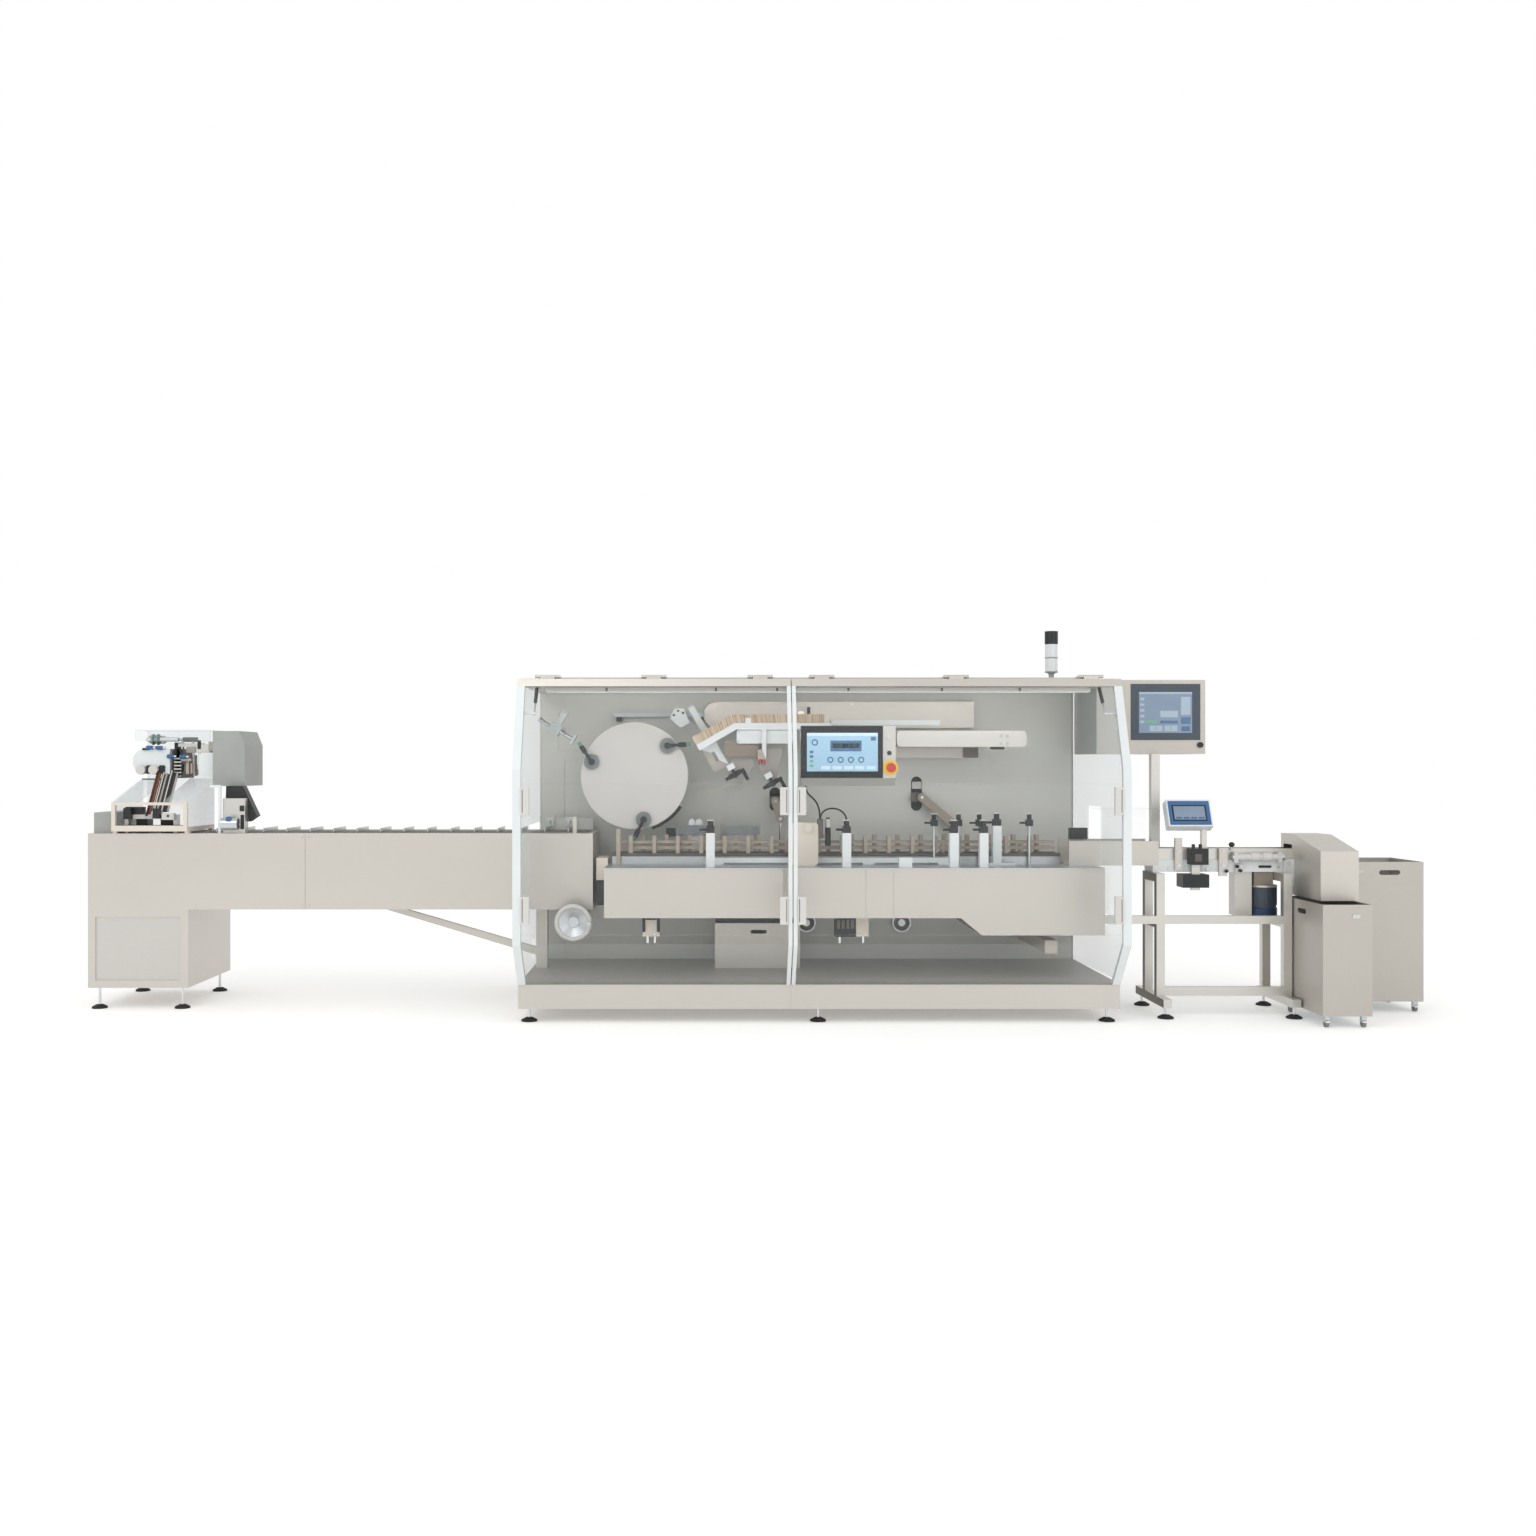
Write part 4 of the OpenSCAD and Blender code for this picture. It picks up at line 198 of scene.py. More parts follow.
def paint(node, finish, x=None, depth=None, z=None):  # faces wholly inside a box, in mm, get another finish
    mesh = cad[node].data
    if mesh.materials.find(finish.name) < 0:
        mesh.materials.append(finish)
    index = mesh.materials.find(finish.name)
    low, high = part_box(node)
    limits = [x and [v * mm for v in x], depth and [setback(v) for v in depth], z and [v * mm for v in z]]
    limits = [limit or (low[k], high[k]) for k, limit in enumerate(limits)]
    slack = 0.7 * mm
    inside = [all(limits[k][0] - slack <= v.co[k] <= limits[k][1] + slack for k in range(3)) for v in mesh.vertices]
    for face in mesh.polygons:
        if all(inside[i] for i in face.vertices):
            face.material_index = index


for node, finish, x, depth, z in [
        # painted shade: bins and monitor cabinet in the darker satin copy
        ("front_bin", satinShade, None, None, None), ("rear_bin", satinShade, None, None, None),
        ("monitor_cabinet", satinShade, None, None, None),
        ("left_door_frame", satinWarm, None, (-60, 60), (1664, 1735)),
        ("right_door_frame", satinWarm, None, (-60, 60), (1664, 1735)),
        ("roof_brackets", satinWarm, None, (-40, 60), (1700, 1740)),
        # painted shade: the recessed field of the infeed door in the cooler satin
        ("infeed_cabinet", satinCoolAndShade, (-3779, -3329), (425, 427), (150, 487)),
        ("back_wall", brushed, (-57, 51), (939, 971), (346, 454)),
        ("back_wall", brushed, (478, 586), (939, 971), (346, 454)),
        ("back_wall", darkSteelAndShade, (-50, 44), (954, 956), (353, 447)),
        ("back_wall", darkSteelAndShade, (485, 579), (954, 956), (353, 447)),
        ("hmi_panel", anodised, None, (206, 970), None),
        ("hmi_panel", whiteAcetal, (364, 386), (197, 206), (1418, 1440)),
        ("hmi_panel", blackAcetalAndShade, (364, 386), (197, 206), (1336, 1358)),
        ("hmi_panel", yellowCoat, (343, 419), (193, 207), (1234, 1310)),
        ("hmi_panel", redPlastic, (357, 405), (166, 193), (1248, 1296)),
        ("carton_chain", darkSteelAndShade, None, None, (799, 817)),
        ("guide_rails", smoke, (-730, -544), (700, 708), (904, 957)),
        ("guide_rails", smoke, (-484, -270), (700, 708), (904, 957)),
        ("adjuster_posts", tanAcetal, (-1040, -1018), (470, 490), None),
        ("guide_rails", blackAcetalAndShade, (-782, -729), (700, 708), (895, 942)),
        ("adjuster_posts", tanAcetal, (-490, -466), (716, 736), None),
        ("adjuster_posts", brushed, (-662, -584), (700, 737), (762, 1000)),
        ("adjuster_posts", brushed, (914, 1050), (355, 410), (761, 775)),
        ("actuators", darkSteelAndShade, (588, 650), (922, 986), (1079, 1131)),
        ("actuators", darkSteelAndShade, (-209, -147), (922, 986), (1059, 1111)),
        ("actuators", creamCoat, (-120, 22), (342, 425), (761, 986)),
        ("actuators", darkSteelAndShade, (21, 48), (355, 425), (903, 1002)),
        ("actuators", blackAcetalAndShade, (59, 91), (370, 410), (860, 1003)),
        ("actuators", blackAcetalAndShade, (-1143, -1083), (440, 640), (546, 672)),
        ("actuators", creamCoat, (-1143, -1083), (440, 640), (678, 795)),
        ("actuators", creamCoat, (-891, -803), (270, 350), (400, 505)),
        ("actuators", creamCoat, (105, 276), (270, 350), (400, 505)),
        ("actuators", chromed, (-891, 276), (301, 319), (363, 401)),
        ("actuators", chromed, (-160, -140), (895, 930), (761, 985)),
        ("actuators", chromed, (807, 827), (895, 930), (761, 960)),
        ("actuators", creamCoat, (1193, 1258), None, (309, 417)),
        ("pre_opener", blackAcetalAndShade, None, (668, 970), (900, 1100)),
        ("magazine_chute", acrylic, None, (684.4, 690.6), None),
        ("magazine_chute", whiteCoat, None, (684.4, 970), (1480, 1700)),
        ("magazine_drive", taupeCoat, (-467, -282), (540, 640), (1330, 1417)),
        ("magazine_drive", dullSteel, None, (579, 593), (1130, 1400)),
        ("magazine_drive", tanAcetal, (-290, -243), (494, 582), (1314, 1368)),
        ("wall_covers", darkSteelAndShade, (861, 941), None, (1325, 1383)),
        ("wall_covers", anodised, (457, 1154), (559, 970), (1382, 1470)),
        ("wall_covers", blueWhite, (-1080, -571), (873, 895), (1553, 1577)),
        ("wall_covers", blackAcetalAndShade, (-1066, -584), (873, 970), (1527, 1555)),
        ("stack_light", blackAcetalAndShade, None, None, (1929, 1992)),
        ("stack_light", lensClear, None, None, (1776, 1927)),
        ("stack_light", greyCoat, None, None, (1722, 1778)),
        ("roof_light", diffuser, None, None, (1651, 1653)),
        ("levelling_feet", chromed, None, None, (21, 115)),
        ("bucket_chain", darkSteelAndShade, None, None, (924, 932)),
        ("bucket_chain", satinWall, (-1500, -1170), (740, 960), (924, 1004)),
        ("feeder_frame", creamCoat, (-3690, -3285), None, None),
        ("feeder_head", guardSheet, (-3668, -3308), (849, 902), None),
        ("feeder_head", greyCoat, (-3799, -3696), None, None),
        ("feeder_guard", guardSheet, None, None, None), ("left_side_panel", endSheet, None, None, None),
        ("right_side_panel", endSheet, None, None, None),
        ("feeder_head", whiteCoat, (-3672, -3469), (649, 852), (1236, 1374)),
        ("feeder_head", whiteAcetal, (-3646, -3526), (619, 651), (1233, 1285)),
        ("feeder_head", blackAcetalAndShade, (-3456, -3407), (669, 852), (1214, 1374)),
        ("feeder_head", dullSteel, (-3603, -3555), (679, 852), (1401, 1449)),
        ("feeder_head", blackAcetalAndShade, (-3433, -3353), None, (1411, 1439)),
        ("feeder_head", rustChain, (-3538, -3514), (480, 666), (1022, 1258)),
        ("feeder_head", whiteAcetal, (-3645, -3365), (469, 516), (999, 1024)),
        ("feeder_head", blackAcetalAndShade, (-3643, -3546), (471, 514), (1021, 1064)),
        ("feeder_hood", whiteCoat, (-3298, -3206), (599, 611), (1218, 1348)),
        ("feeder_hood", blackAcetalAndShade, (-3121, -2953), (504, 571), (984, 1175)),
        ("feeder_hood", anodised, (-3122, -3002), (459, 516), (925, 1110)),
        ("feeder_hood", brushed, (-3120, -3029), (400, 464), (944, 1006)),
        ("outfeed_conveyor", whiteCoat, None, None, (728, 790)),
        ("outfeed_conveyor", blackRubber, None, None, (799.5, 800.5)),
        ("conveyor_units", satinWarm, (1877, 1915), (329, 351), (737, 906)),
        ("conveyor_units", satinWarm, (2106, 2150), (329, 351), (706, 854)),
        ("conveyor_units", anodised, (1960, 2004), (319, 351), (633, 771)),
        ("conveyor_units", brushed, (2169, 2442), (307, 343), (788, 824)),
        ("conveyor_units", whiteAcetal, (2177, 2429), (307, 351), (779, 833)),
        ("conveyor_units", whiteCoat, (2443, 2501), (339, 351), (654, 796)),
        ("conveyor_units", satinCoolAndShade, (2200, 2291), (369, 461), (497, 729)),
        ("conveyor_units", taupeCoat, (2299, 2399), (359, 481), (654, 729)),
        ("conveyor_units", slateCoat, (2292, 2434), (349, 491), (492, 657)),
        ("conveyor_units", whiteCoat, (1820, 2060), (250, 400), (925, 1120)),
        ("conveyor_units", anodised, (2007, 2035), (304, 336), (851, 1012)),
        ("monitor_cabinet", slateCoat, (1702, 2073), (524, 531), (1418, 1719)),
        ("monitor_cabinet", anodised, (1803, 1852), None, (727, 1347)),
        ("monitor_cabinet", blackAcetalAndShade, (2056, 2088), (517, 531), (1377, 1409)),
        ("front_bin", greyRubber, None, None, (0, 41)), ("rear_bin", greyRubber, None, None, (0, 41)),
        ("front_bin", brushed, None, None, (22, 59)), ("rear_bin", brushed, None, None, (22, 57)),
        # painted shade: left faces of the outfeed stand in the dark steel
        ("outfeed_stand", anodised, None, None, None), ("outfeed_stand", darkSteelAndShade, (1746.5, 1749.5), None, None),
        ("handwheel", brushed, (-1337.5, -1166.5), (296, 999), (382.5, 553.5))]:
    paint(node, finish, x, depth, z)

slimPosts = (645, 775, 885, 1150)
postTops = [(x, 250, 936) for x in (-541, 160, 711, 865)] + [(958, 382, 968)]
postTops += [(x, 482, 962) for x in slimPosts]  # X, depth and height of each post's top, in mm
for x in slimPosts:
    paint("adjuster_posts", chromed, (x - 8, x + 8), (474, 490), (761, 962))

rotor = {"axis": (-951, 1228), "planet": 241, "first": 42, "pick": 29.3, "cup": 113, "cupHalf": 17,
         "washer": (595, 607)}  # mm and degrees
for i in range(3):
    turn = math.radians(rotor["first"] + 120 * i)
    arm = math.radians(3 * rotor["pick"]) - 2 * turn
    cupX = rotor["axis"][0] + rotor["planet"] * math.cos(turn) + rotor["cup"] * math.cos(arm)
    cupZ = rotor["axis"][1] + rotor["planet"] * math.sin(turn) + rotor["cup"] * math.sin(arm)
    half = rotor["cupHalf"]
    paint(f"suction_arm_{i + 1}", smoke, None, rotor["washer"], None)
    paint(f"suction_arm_{i + 1}", greenRubber, (cupX - half, cupX + half), None, (cupZ - half, cupZ + half))
print("finishes painted")


# Studio and camera

studio = {"floorHalf": 30.0, "keyPower": 125, "keySize": 5.0, "fillPower": 55, "fillSize": 4.0, "world": 0.86,
          "strip": {"place": (0, 80, 1640), "aim": (0, 900, 1150), "long": 2.6, "wide": 0.06, "power": 3.6}}


def makeStudio():
    paper = surface("paperFloor", ("#f7f7f6", "#fbfbfa"), 900, (0.8, 0.9), 4, 0.02,
                    **{"Emission Color": linear("#ffffff"), "Emission Strength": 0.2})  # plain pale floor
    half = studio["floorHalf"]
    mesh = bpy.data.meshes.new("floor")
    mesh.from_pydata([(-half, -half, 0), (half, -half, 0), (half, half, 0), (-half, half, 0)], [], [(0, 1, 2, 3)])
    mesh.materials.append(paper)
    floor = bpy.data.objects.new("floor", mesh)
    bpy.context.scene.collection.objects.link(floor)
    world = bpy.data.worlds.new("studioWhite")
    world.use_nodes = True
    tree = world.node_tree
    seen = addNode(tree, "ShaderNodeLightPath")
    power = addNode(tree, "ShaderNodeMapRange", {"Value": seen.outputs["Is Camera Ray"], "To Min": studio["world"],
                                                 "To Max": 1.0})
    tree.nodes["Background"].inputs["Color"].default_value = linear("#ffffff")
    tree.links.new(power.outputs[0], tree.nodes["Background"].inputs["Strength"])
    bpy.context.scene.world = world
    for name, place, aim, power, size in [
            ("keyLight", (-3.5, -5.0, 5.5), (0.0, 0.3, 0.8), studio["keyPower"], studio["keySize"]),
            ("fillLight", (4.5, -5.5, 3.5), (0.3, 0.3, 0.8), studio["fillPower"], studio["fillSize"])]:
        data = bpy.data.lights.new(name, "AREA")
        data.energy = power
        data.size = size
        lamp = bpy.data.objects.new(name, data)
        lamp.location = place
        lamp.rotation_euler = (Vector(aim) - Vector(place)).to_track_quat("-Z", "Y").to_euler()
        bpy.context.scene.collection.objects.link(lamp)
    strip = studio["strip"]
    data = bpy.data.lights.new("lampStrip", "AREA")  # light of the lamp strip under the roof
    data.shape, data.size, data.size_y, data.energy = "RECTANGLE", strip["long"], strip["wide"], strip["power"]
    lamp = bpy.data.objects.new("lampStrip", data)
    lamp.location = spot(*strip["place"])
    lamp.rotation_euler = (spot(*strip["aim"]) - lamp.location).to_track_quat("-Z", "Y").to_euler()
    lamp.visible_camera = False
    bpy.context.scene.collection.objects.link(lamp)
    bpy.context.scene.view_settings.view_transform = "Standard"


camera = {"place": (-0.533, -7.50, 1.286), "lens": 35, "shift": (0.0365, -0.002)}


def makeCamera():
    data = bpy.data.cameras.new("camera")
    data.lens = camera["lens"]
    data.sensor_width = 36
    data.shift_x, data.shift_y = camera["shift"]
    eye = bpy.data.objects.new("camera", data)
    eye.location = camera["place"]
    eye.rotation_euler = (math.radians(90), 0, 0)
    bpy.context.scene.collection.objects.link(eye)
    bpy.context.scene.camera = eye


makeStudio()
makeCamera()
print("studio and camera set")


# Ways to make a piece

def keepPiece(name, mesh, body, finishes=()):
    for finish in finishes:
        mesh.materials.append(finish)
    piece = bpy.data.objects.new(name, mesh)
    bpy.context.scene.collection.objects.link(piece)
    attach(piece, body)
    return piece


def addBox(bm, low, high, finish=0, edge=0.0008, turn=None):  # box with broken edges
    made = bmesh.ops.create_cube(bm, size=1.0)["verts"]
    for v in made:
        v.co = Vector([low[k] + (v.co[k] + 0.5) * (high[k] - low[k]) for k in range(3)])
        if turn:
            v.co = turn @ v.co
    for face in {f for v in made for f in v.link_faces}:
        face.material_index = finish
    bmesh.ops.bevel(bm, geom=list({e for v in made for e in v.link_edges}), offset=edge, segments=2, affect="EDGES",
                    material=-1)


def addRound(bm, centre, axis, diameter, length, finish=0, edge=0.0008, bore=0.0, sides=32):  # rod or ring
    outer, inner = diameter / 2, bore / 2
    profile = [(outer - edge, -length / 2), (outer, -length / 2 + edge), (outer, length / 2 - edge),
               (outer - edge, length / 2), (inner, length / 2), (inner, -length / 2)]
    aim = Vector(axis).to_track_quat("Z", "Y").to_matrix().to_4x4()
    place = Matrix.Translation(centre) @ aim
    rings = []
    for i in range(sides):
        turn = 2 * math.pi * i / sides
        rings.append([bm.verts.new(place @ Vector((r * math.cos(turn), r * math.sin(turn), h))) for r, h in profile])
    count = len(profile)
    for i in range(sides):
        a, b = rings[i], rings[(i + 1) % sides]
        for k in range(count):
            if inner or k != count - 2:
                m = (k + 1) % count
                bm.faces.new((a[k], b[k], b[m], a[m])).material_index = finish
    bmesh.ops.remove_doubles(bm, verts=[v for ring in rings for v in ring], dist=1e-7)


def bmeshPiece(name, bm, finishes, body):
    bmesh.ops.recalc_face_normals(bm, faces=bm.faces)
    mesh = bpy.data.meshes.new(name)
    bm.to_mesh(mesh)
    bm.free()
    return keepPiece(name, mesh, body, finishes)


def geometryTree(name, sockets):  # empty tree with its named inputs
    tree = bpy.data.node_groups.new(name, "GeometryNodeTree")
    tree.interface.new_socket("Geometry", in_out="INPUT", socket_type="NodeSocketGeometry")
    tree.interface.new_socket("Geometry", in_out="OUTPUT", socket_type="NodeSocketGeometry")
    for label, kind in sockets:
        tree.interface.new_socket(label, in_out="INPUT", socket_type="NodeSocket" + kind)
    return tree, addNode(tree, "NodeGroupInput").outputs, addNode(tree, "NodeGroupOutput")


def growPiece(name, seed, tree, values, body):  # evaluates a tree on its seed and keeps the mesh
    start = bpy.data.objects.new(name + "Seed", seed)
    bpy.context.scene.collection.objects.link(start)
    modifier = start.modifiers.new("grow", "NODES")
    modifier.node_group = tree
    for item in tree.interface.items_tree:
        if item.in_out == "INPUT" and item.name in values:
            modifier[item.identifier] = values[item.name]
    graph = bpy.context.evaluated_depsgraph_get()
    mesh = bpy.data.meshes.new_from_object(start.evaluated_get(graph))
    bpy.data.objects.remove(start)
    return keepPiece(name, mesh, body)


def pointSeed(name, places):  # points with the way that each one faces
    mesh = bpy.data.meshes.new(name)
    mesh.from_pydata([place for place, way in places], [], [])
    facing = mesh.attributes.new("facing", "FLOAT_VECTOR", "POINT")
    for i, (place, way) in enumerate(places):
        facing.data[i].vector = way
    return mesh


def pathSeed(name, points):
    curve = bpy.data.curves.new(name, "CURVE")
    curve.dimensions = "3D"
    spline = curve.splines.new("POLY")
    spline.points.add(len(points) - 1)
    for i, point in enumerate(points):
        spline.points[i].co = (*point, 1.0)
    return curve


def makeHeadsTree():  # screw heads with washers
    tree, given, out = geometryTree("screwHeads", [("Head", "Float"), ("Height", "Float"), ("Washer", "Float"),
                                                   ("Sides", "Int"), ("Finish", "Material")])
    facing = addNode(tree, "GeometryNodeInputNamedAttribute", {"Name": "facing"}, data_type="FLOAT_VECTOR")
    aim = addNode(tree, "FunctionNodeAlignRotationToVector", {"Vector": facing.outputs[0]}, axis="Z")
    head = addNode(tree, "GeometryNodeMeshCylinder", {"Vertices": given["Sides"], "Radius": given["Head"],
                                                      "Depth": given["Height"]})
    washer = addNode(tree, "GeometryNodeMeshCylinder", {"Vertices": 16, "Radius": given["Washer"], "Depth": 0.002})
    both = addNode(tree, "GeometryNodeJoinGeometry", {0: head.outputs[0]})
    tree.links.new(washer.outputs[0], both.inputs[0])
    heads = addNode(tree, "GeometryNodeInstanceOnPoints", {"Points": given["Geometry"], "Instance": both.outputs[0],
                                                           "Rotation": aim.outputs[0]})
    solid = addNode(tree, "GeometryNodeRealizeInstances", {0: heads.outputs[0]})
    dressed = addNode(tree, "GeometryNodeSetMaterial", {"Geometry": solid.outputs[0], "Material": given["Finish"]})
    tree.links.new(dressed.outputs[0], out.inputs[0])
    return tree


def makePlatesTree():  # small plates that look along their points' facing
    tree, given, out = geometryTree("platesAtPoints", [("Size", "Vector"), ("Finish", "Material")])
    facing = addNode(tree, "GeometryNodeInputNamedAttribute", {"Name": "facing"}, data_type="FLOAT_VECTOR")
    aim = addNode(tree, "FunctionNodeAlignRotationToVector", {"Vector": facing.outputs[0]}, axis="X")
    plate = addNode(tree, "GeometryNodeMeshCube", {"Size": given["Size"]})
    plates = addNode(tree, "GeometryNodeInstanceOnPoints", {"Points": given["Geometry"], "Instance": plate.outputs[0],
                                                            "Rotation": aim.outputs[0]})
    solid = addNode(tree, "GeometryNodeRealizeInstances", {0: plates.outputs[0]})
    dressed = addNode(tree, "GeometryNodeSetMaterial", {"Geometry": solid.outputs[0], "Material": given["Finish"]})
    tree.links.new(dressed.outputs[0], out.inputs[0])
    return tree


def makeFlatsTree():  # folded flats on edge along a path, some paler than the rest
    tree, given, out = geometryTree("cartonFlats", [("Pitch", "Float"), ("Size", "Vector"), ("Jitter", "Vector"),
                                                    ("Pale Share", "Float"), ("Board", "Material"),
                                                    ("Pale", "Material")])
    points = addNode(tree, "GeometryNodeCurveToPoints", {"Curve": given["Geometry"], "Length": given["Pitch"]},
                     mode="LENGTH")
    chance = addNode(tree, "FunctionNodeRandomValue", {"Seed": 7}, data_type="FLOAT")
    pale = addNode(tree, "FunctionNodeCompare", {0: chance.outputs[1], 1: given["Pale Share"]}, operation="LESS_THAN")
    marked = addNode(tree, "GeometryNodeStoreNamedAttribute", {"Geometry": points.outputs["Points"], "Name": "pale",
                                                              "Value": pale.outputs[0]}, data_type="BOOLEAN")
    aim = addNode(tree, "FunctionNodeAlignRotationToVector", {"Vector": points.outputs["Tangent"]}, axis="X")
    flat = addNode(tree, "GeometryNodeMeshCube", {"Size": given["Size"]})
    placed = addNode(tree, "GeometryNodeInstanceOnPoints", {"Points": marked.outputs[0], "Instance": flat.outputs[0],
                                                            "Rotation": aim.outputs[0]})
    back = addNode(tree, "ShaderNodeVectorMath", {0: given["Jitter"], "Scale": -1.0}, operation="SCALE")
    slip = addNode(tree, "FunctionNodeRandomValue", {0: back.outputs[0], 1: given["Jitter"], "Seed": 3},
                   data_type="FLOAT_VECTOR")
    loose = addNode(tree, "GeometryNodeTranslateInstances", {"Instances": placed.outputs[0],
                                                            "Translation": slip.outputs[0]})
    solid = addNode(tree, "GeometryNodeRealizeInstances", {0: loose.outputs[0]})
    board = addNode(tree, "GeometryNodeSetMaterial", {"Geometry": solid.outputs[0], "Material": given["Board"]})
    chosen = addNode(tree, "GeometryNodeInputNamedAttribute", {"Name": "pale"}, data_type="BOOLEAN")
    mixed = addNode(tree, "GeometryNodeSetMaterial", {"Geometry": board.outputs[0], "Material": given["Pale"],
                                                      "Selection": chosen.outputs[0]})
    tree.links.new(mixed.outputs[0], out.inputs[0])
    return tree


def makeTubeTree():  # round tube along a path
    tree, given, out = geometryTree("tubeAlong", [("Radius", "Float"), ("Finish", "Material")])
    ring = addNode(tree, "GeometryNodeCurvePrimitiveCircle", {"Resolution": 12, "Radius": given["Radius"]})
    tube = addNode(tree, "GeometryNodeCurveToMesh", {"Curve": given["Geometry"], "Profile Curve": ring.outputs[0],
                                                     "Fill Caps": True})
    smooth = addNode(tree, "GeometryNodeSetShadeSmooth", {0: tube.outputs[0]})
    dressed = addNode(tree, "GeometryNodeSetMaterial", {"Geometry": smooth.outputs[0], "Material": given["Finish"]})
    tree.links.new(dressed.outputs[0], out.inputs[0])
    return tree


headsTree, platesTree, flatsTree, tubeTree = makeHeadsTree(), makePlatesTree(), makeFlatsTree(), makeTubeTree()
print("geometry trees ready")


# Leads between the operator panel, the closing unit and a post

leads = {"diameter": 9 * mm, "steps": 24,
         "panelLead": [(-50, 258, 1178), (-50, 258, 1108), (34.5, 405, 1132), (34.5, 405, 1002)],
         "postLead": [(34.5, 375, 1002), (34.5, 375, 1082), (160, 250, 1078), (160, 250, 998)]}


def makeLeads():
    for name in ("panelLead", "postLead"):
        a, b, c, d = [spot(*p) for p in leads[name]]
        route = []
        for i in range(leads["steps"] + 1):
            t = i / leads["steps"]
            route.append((1 - t) ** 3 * a + 3 * t * (1 - t) ** 2 * b + 3 * t * t * (1 - t) * c + t ** 3 * d)
        lead = growPiece(name, pathSeed(name, route), tubeTree,
                         {"Radius": leads["diameter"] / 2, "Finish": blackRubber}, "machine")
        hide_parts("cables")


makeLeads()
print("leads made")


# Flats in the magazine

flats = {"path": [(-620.6, 590, 1399.7), (-415.3, 590, 1518.2), (64.7, 590, 1518.2)], "pitch": 3.4 * mm,
         "size": (2.6 * mm, 164 * mm, 75 * mm), "jitter": (0.0, 0.8 * mm, 1.6 * mm), "paleShare": 0.45}


def makeFlats():
    piece = growPiece("cartonFlats", pathSeed("cartonFlats", [spot(*p) for p in flats["path"]]), flatsTree,
                      {"Pitch": flats["pitch"], "Size": flats["size"], "Jitter": flats["jitter"],
                       "Pale Share": flats["paleShare"], "Board": kraft, "Pale": boardWhite}, "machine")
    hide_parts("carton_stack")


makeFlats()
print("flats made")


# Displays, with a generic page on each

page = {"x": (-47, 316), "z": (1253, 1450), "depth": 200}
sheet = {"x": (1745, 2028), "z": (1457, 1675), "depth": 525}


def makePage(name, frameBox, rects, rings, finishes):
    bm = bmesh.new()
    x0, x1 = frameBox["x"]
    z0, z1 = frameBox["z"]
    depth = frameBox["depth"]
    for layer, (u0, v0, u1, v1, finish) in enumerate([(0, 0, 1, 1, 0)] + rects):  # shares from the upper left
        lift = 0.5 if layer == 0 else 0.9
        addBox(bm, spot(x0 + u0 * (x1 - x0), depth - lift, z1 - v1 * (z1 - z0)),
               spot(x0 + u1 * (x1 - x0), depth + 0.2, z1 - v0 * (z1 - z0)), finish, 0.2 * mm)
    for u, v, size, finish in rings:
        addRound(bm, spot(x0 + u * (x1 - x0), depth - 0.4, z1 - v * (z1 - z0)), (0, -1, 0), size * mm, 1.2 * mm, finish,
                 0.2 * mm, 0.6 * size * mm, 20)
    bmeshPiece(name, bm, finishes, "machine")


pageRects = [(0, 0, 1, 0.08, 1), (0.33, 0.2, 0.77, 0.48, 2), (0.36, 0.27, 0.74, 0.4, 1), (0.9, 0.1, 0.97, 0.2, 2),
             (0.4, 0.29, 0.48, 0.38, 3), (0.52, 0.29, 0.58, 0.38, 2), (0.62, 0.29, 0.7, 0.38, 3)]
pageRects += [(0.04, 0.46 + 0.12 * i, 0.09, 0.53 + 0.12 * i, 2 if i < 2 else 3) for i in range(4)]
pageRects += [(0.2 + 0.16 * i, 0.86, 0.33 + 0.16 * i, 0.95, 1) for i in range(5)]
makePage("panelPage", page, pageRects, [(0.11, 0.25, 34, 2)] + [(0.33 + 0.145 * i, 0.7, 32, 2) for i in range(4)],
         [screenPale, screenTile, screenInk, screenGreen])
sheetRects = [(0, 0, 1, 0.05, 1), (0.79, 0.12, 0.97, 0.56, 1), (0.79, 0.62, 0.97, 0.78, 2), (0.4, 0.46, 0.73, 0.62, 1),
              (0.12, 0.7, 0.34, 0.76, 3), (0.4, 0.7, 0.73, 0.77, 2)]
sheetRects += [(0.02, 0.14 + 0.14 * i, 0.1, 0.2 + 0.14 * i, 1) for i in range(5)]
sheetRects += [(0.2 + 0.28 * i, 0.82, 0.44 + 0.28 * i, 0.96, 1) for i in range(2)] + [(0.8, 0.84, 0.96, 0.96, 2)]
makePage("monitorPage", sheet, sheetRects, [(0.32, 0.89, 16, 3), (0.6, 0.89, 16, 3)],
         [screenSlate, screenMist, screenInk, screenGreen])

printer = {"middle": (1940, 320, 1025), "front": -30, "back": -29, "tilt": -25,
           "layers": [(-107, -67, 107, 67, 1.5, 0, 1), (-90, -46, 88, 44, 2.5, 1, 1), (-82, -39, 80, 37, 3, 2, 0.8)],
           "finishes": [blueCoat, blackAcetalAndShade, screenSlate, screenInk]}
printer["layers"] += [(39 * i - 74, -34, 39 * i - 43, -24, 3.4, 3, 0.4) for i in range(4)]  # keys under the screen


def makePrinterFace():
    bm = bmesh.new()
    turn = Matrix.Translation(spot(*printer["middle"])) @ Matrix.Rotation(math.radians(printer["tilt"]), 4, "X")
    for x0, z0, x1, z1, lift, finish, edge in printer["layers"]:
        addBox(bm, Vector((x0, printer["front"] - lift, z0)) * mm, Vector((x1, printer["back"], z1)) * mm, finish,
               edge * mm, turn)
    bmeshPiece("printerFace", bm, printer["finishes"], "machine")


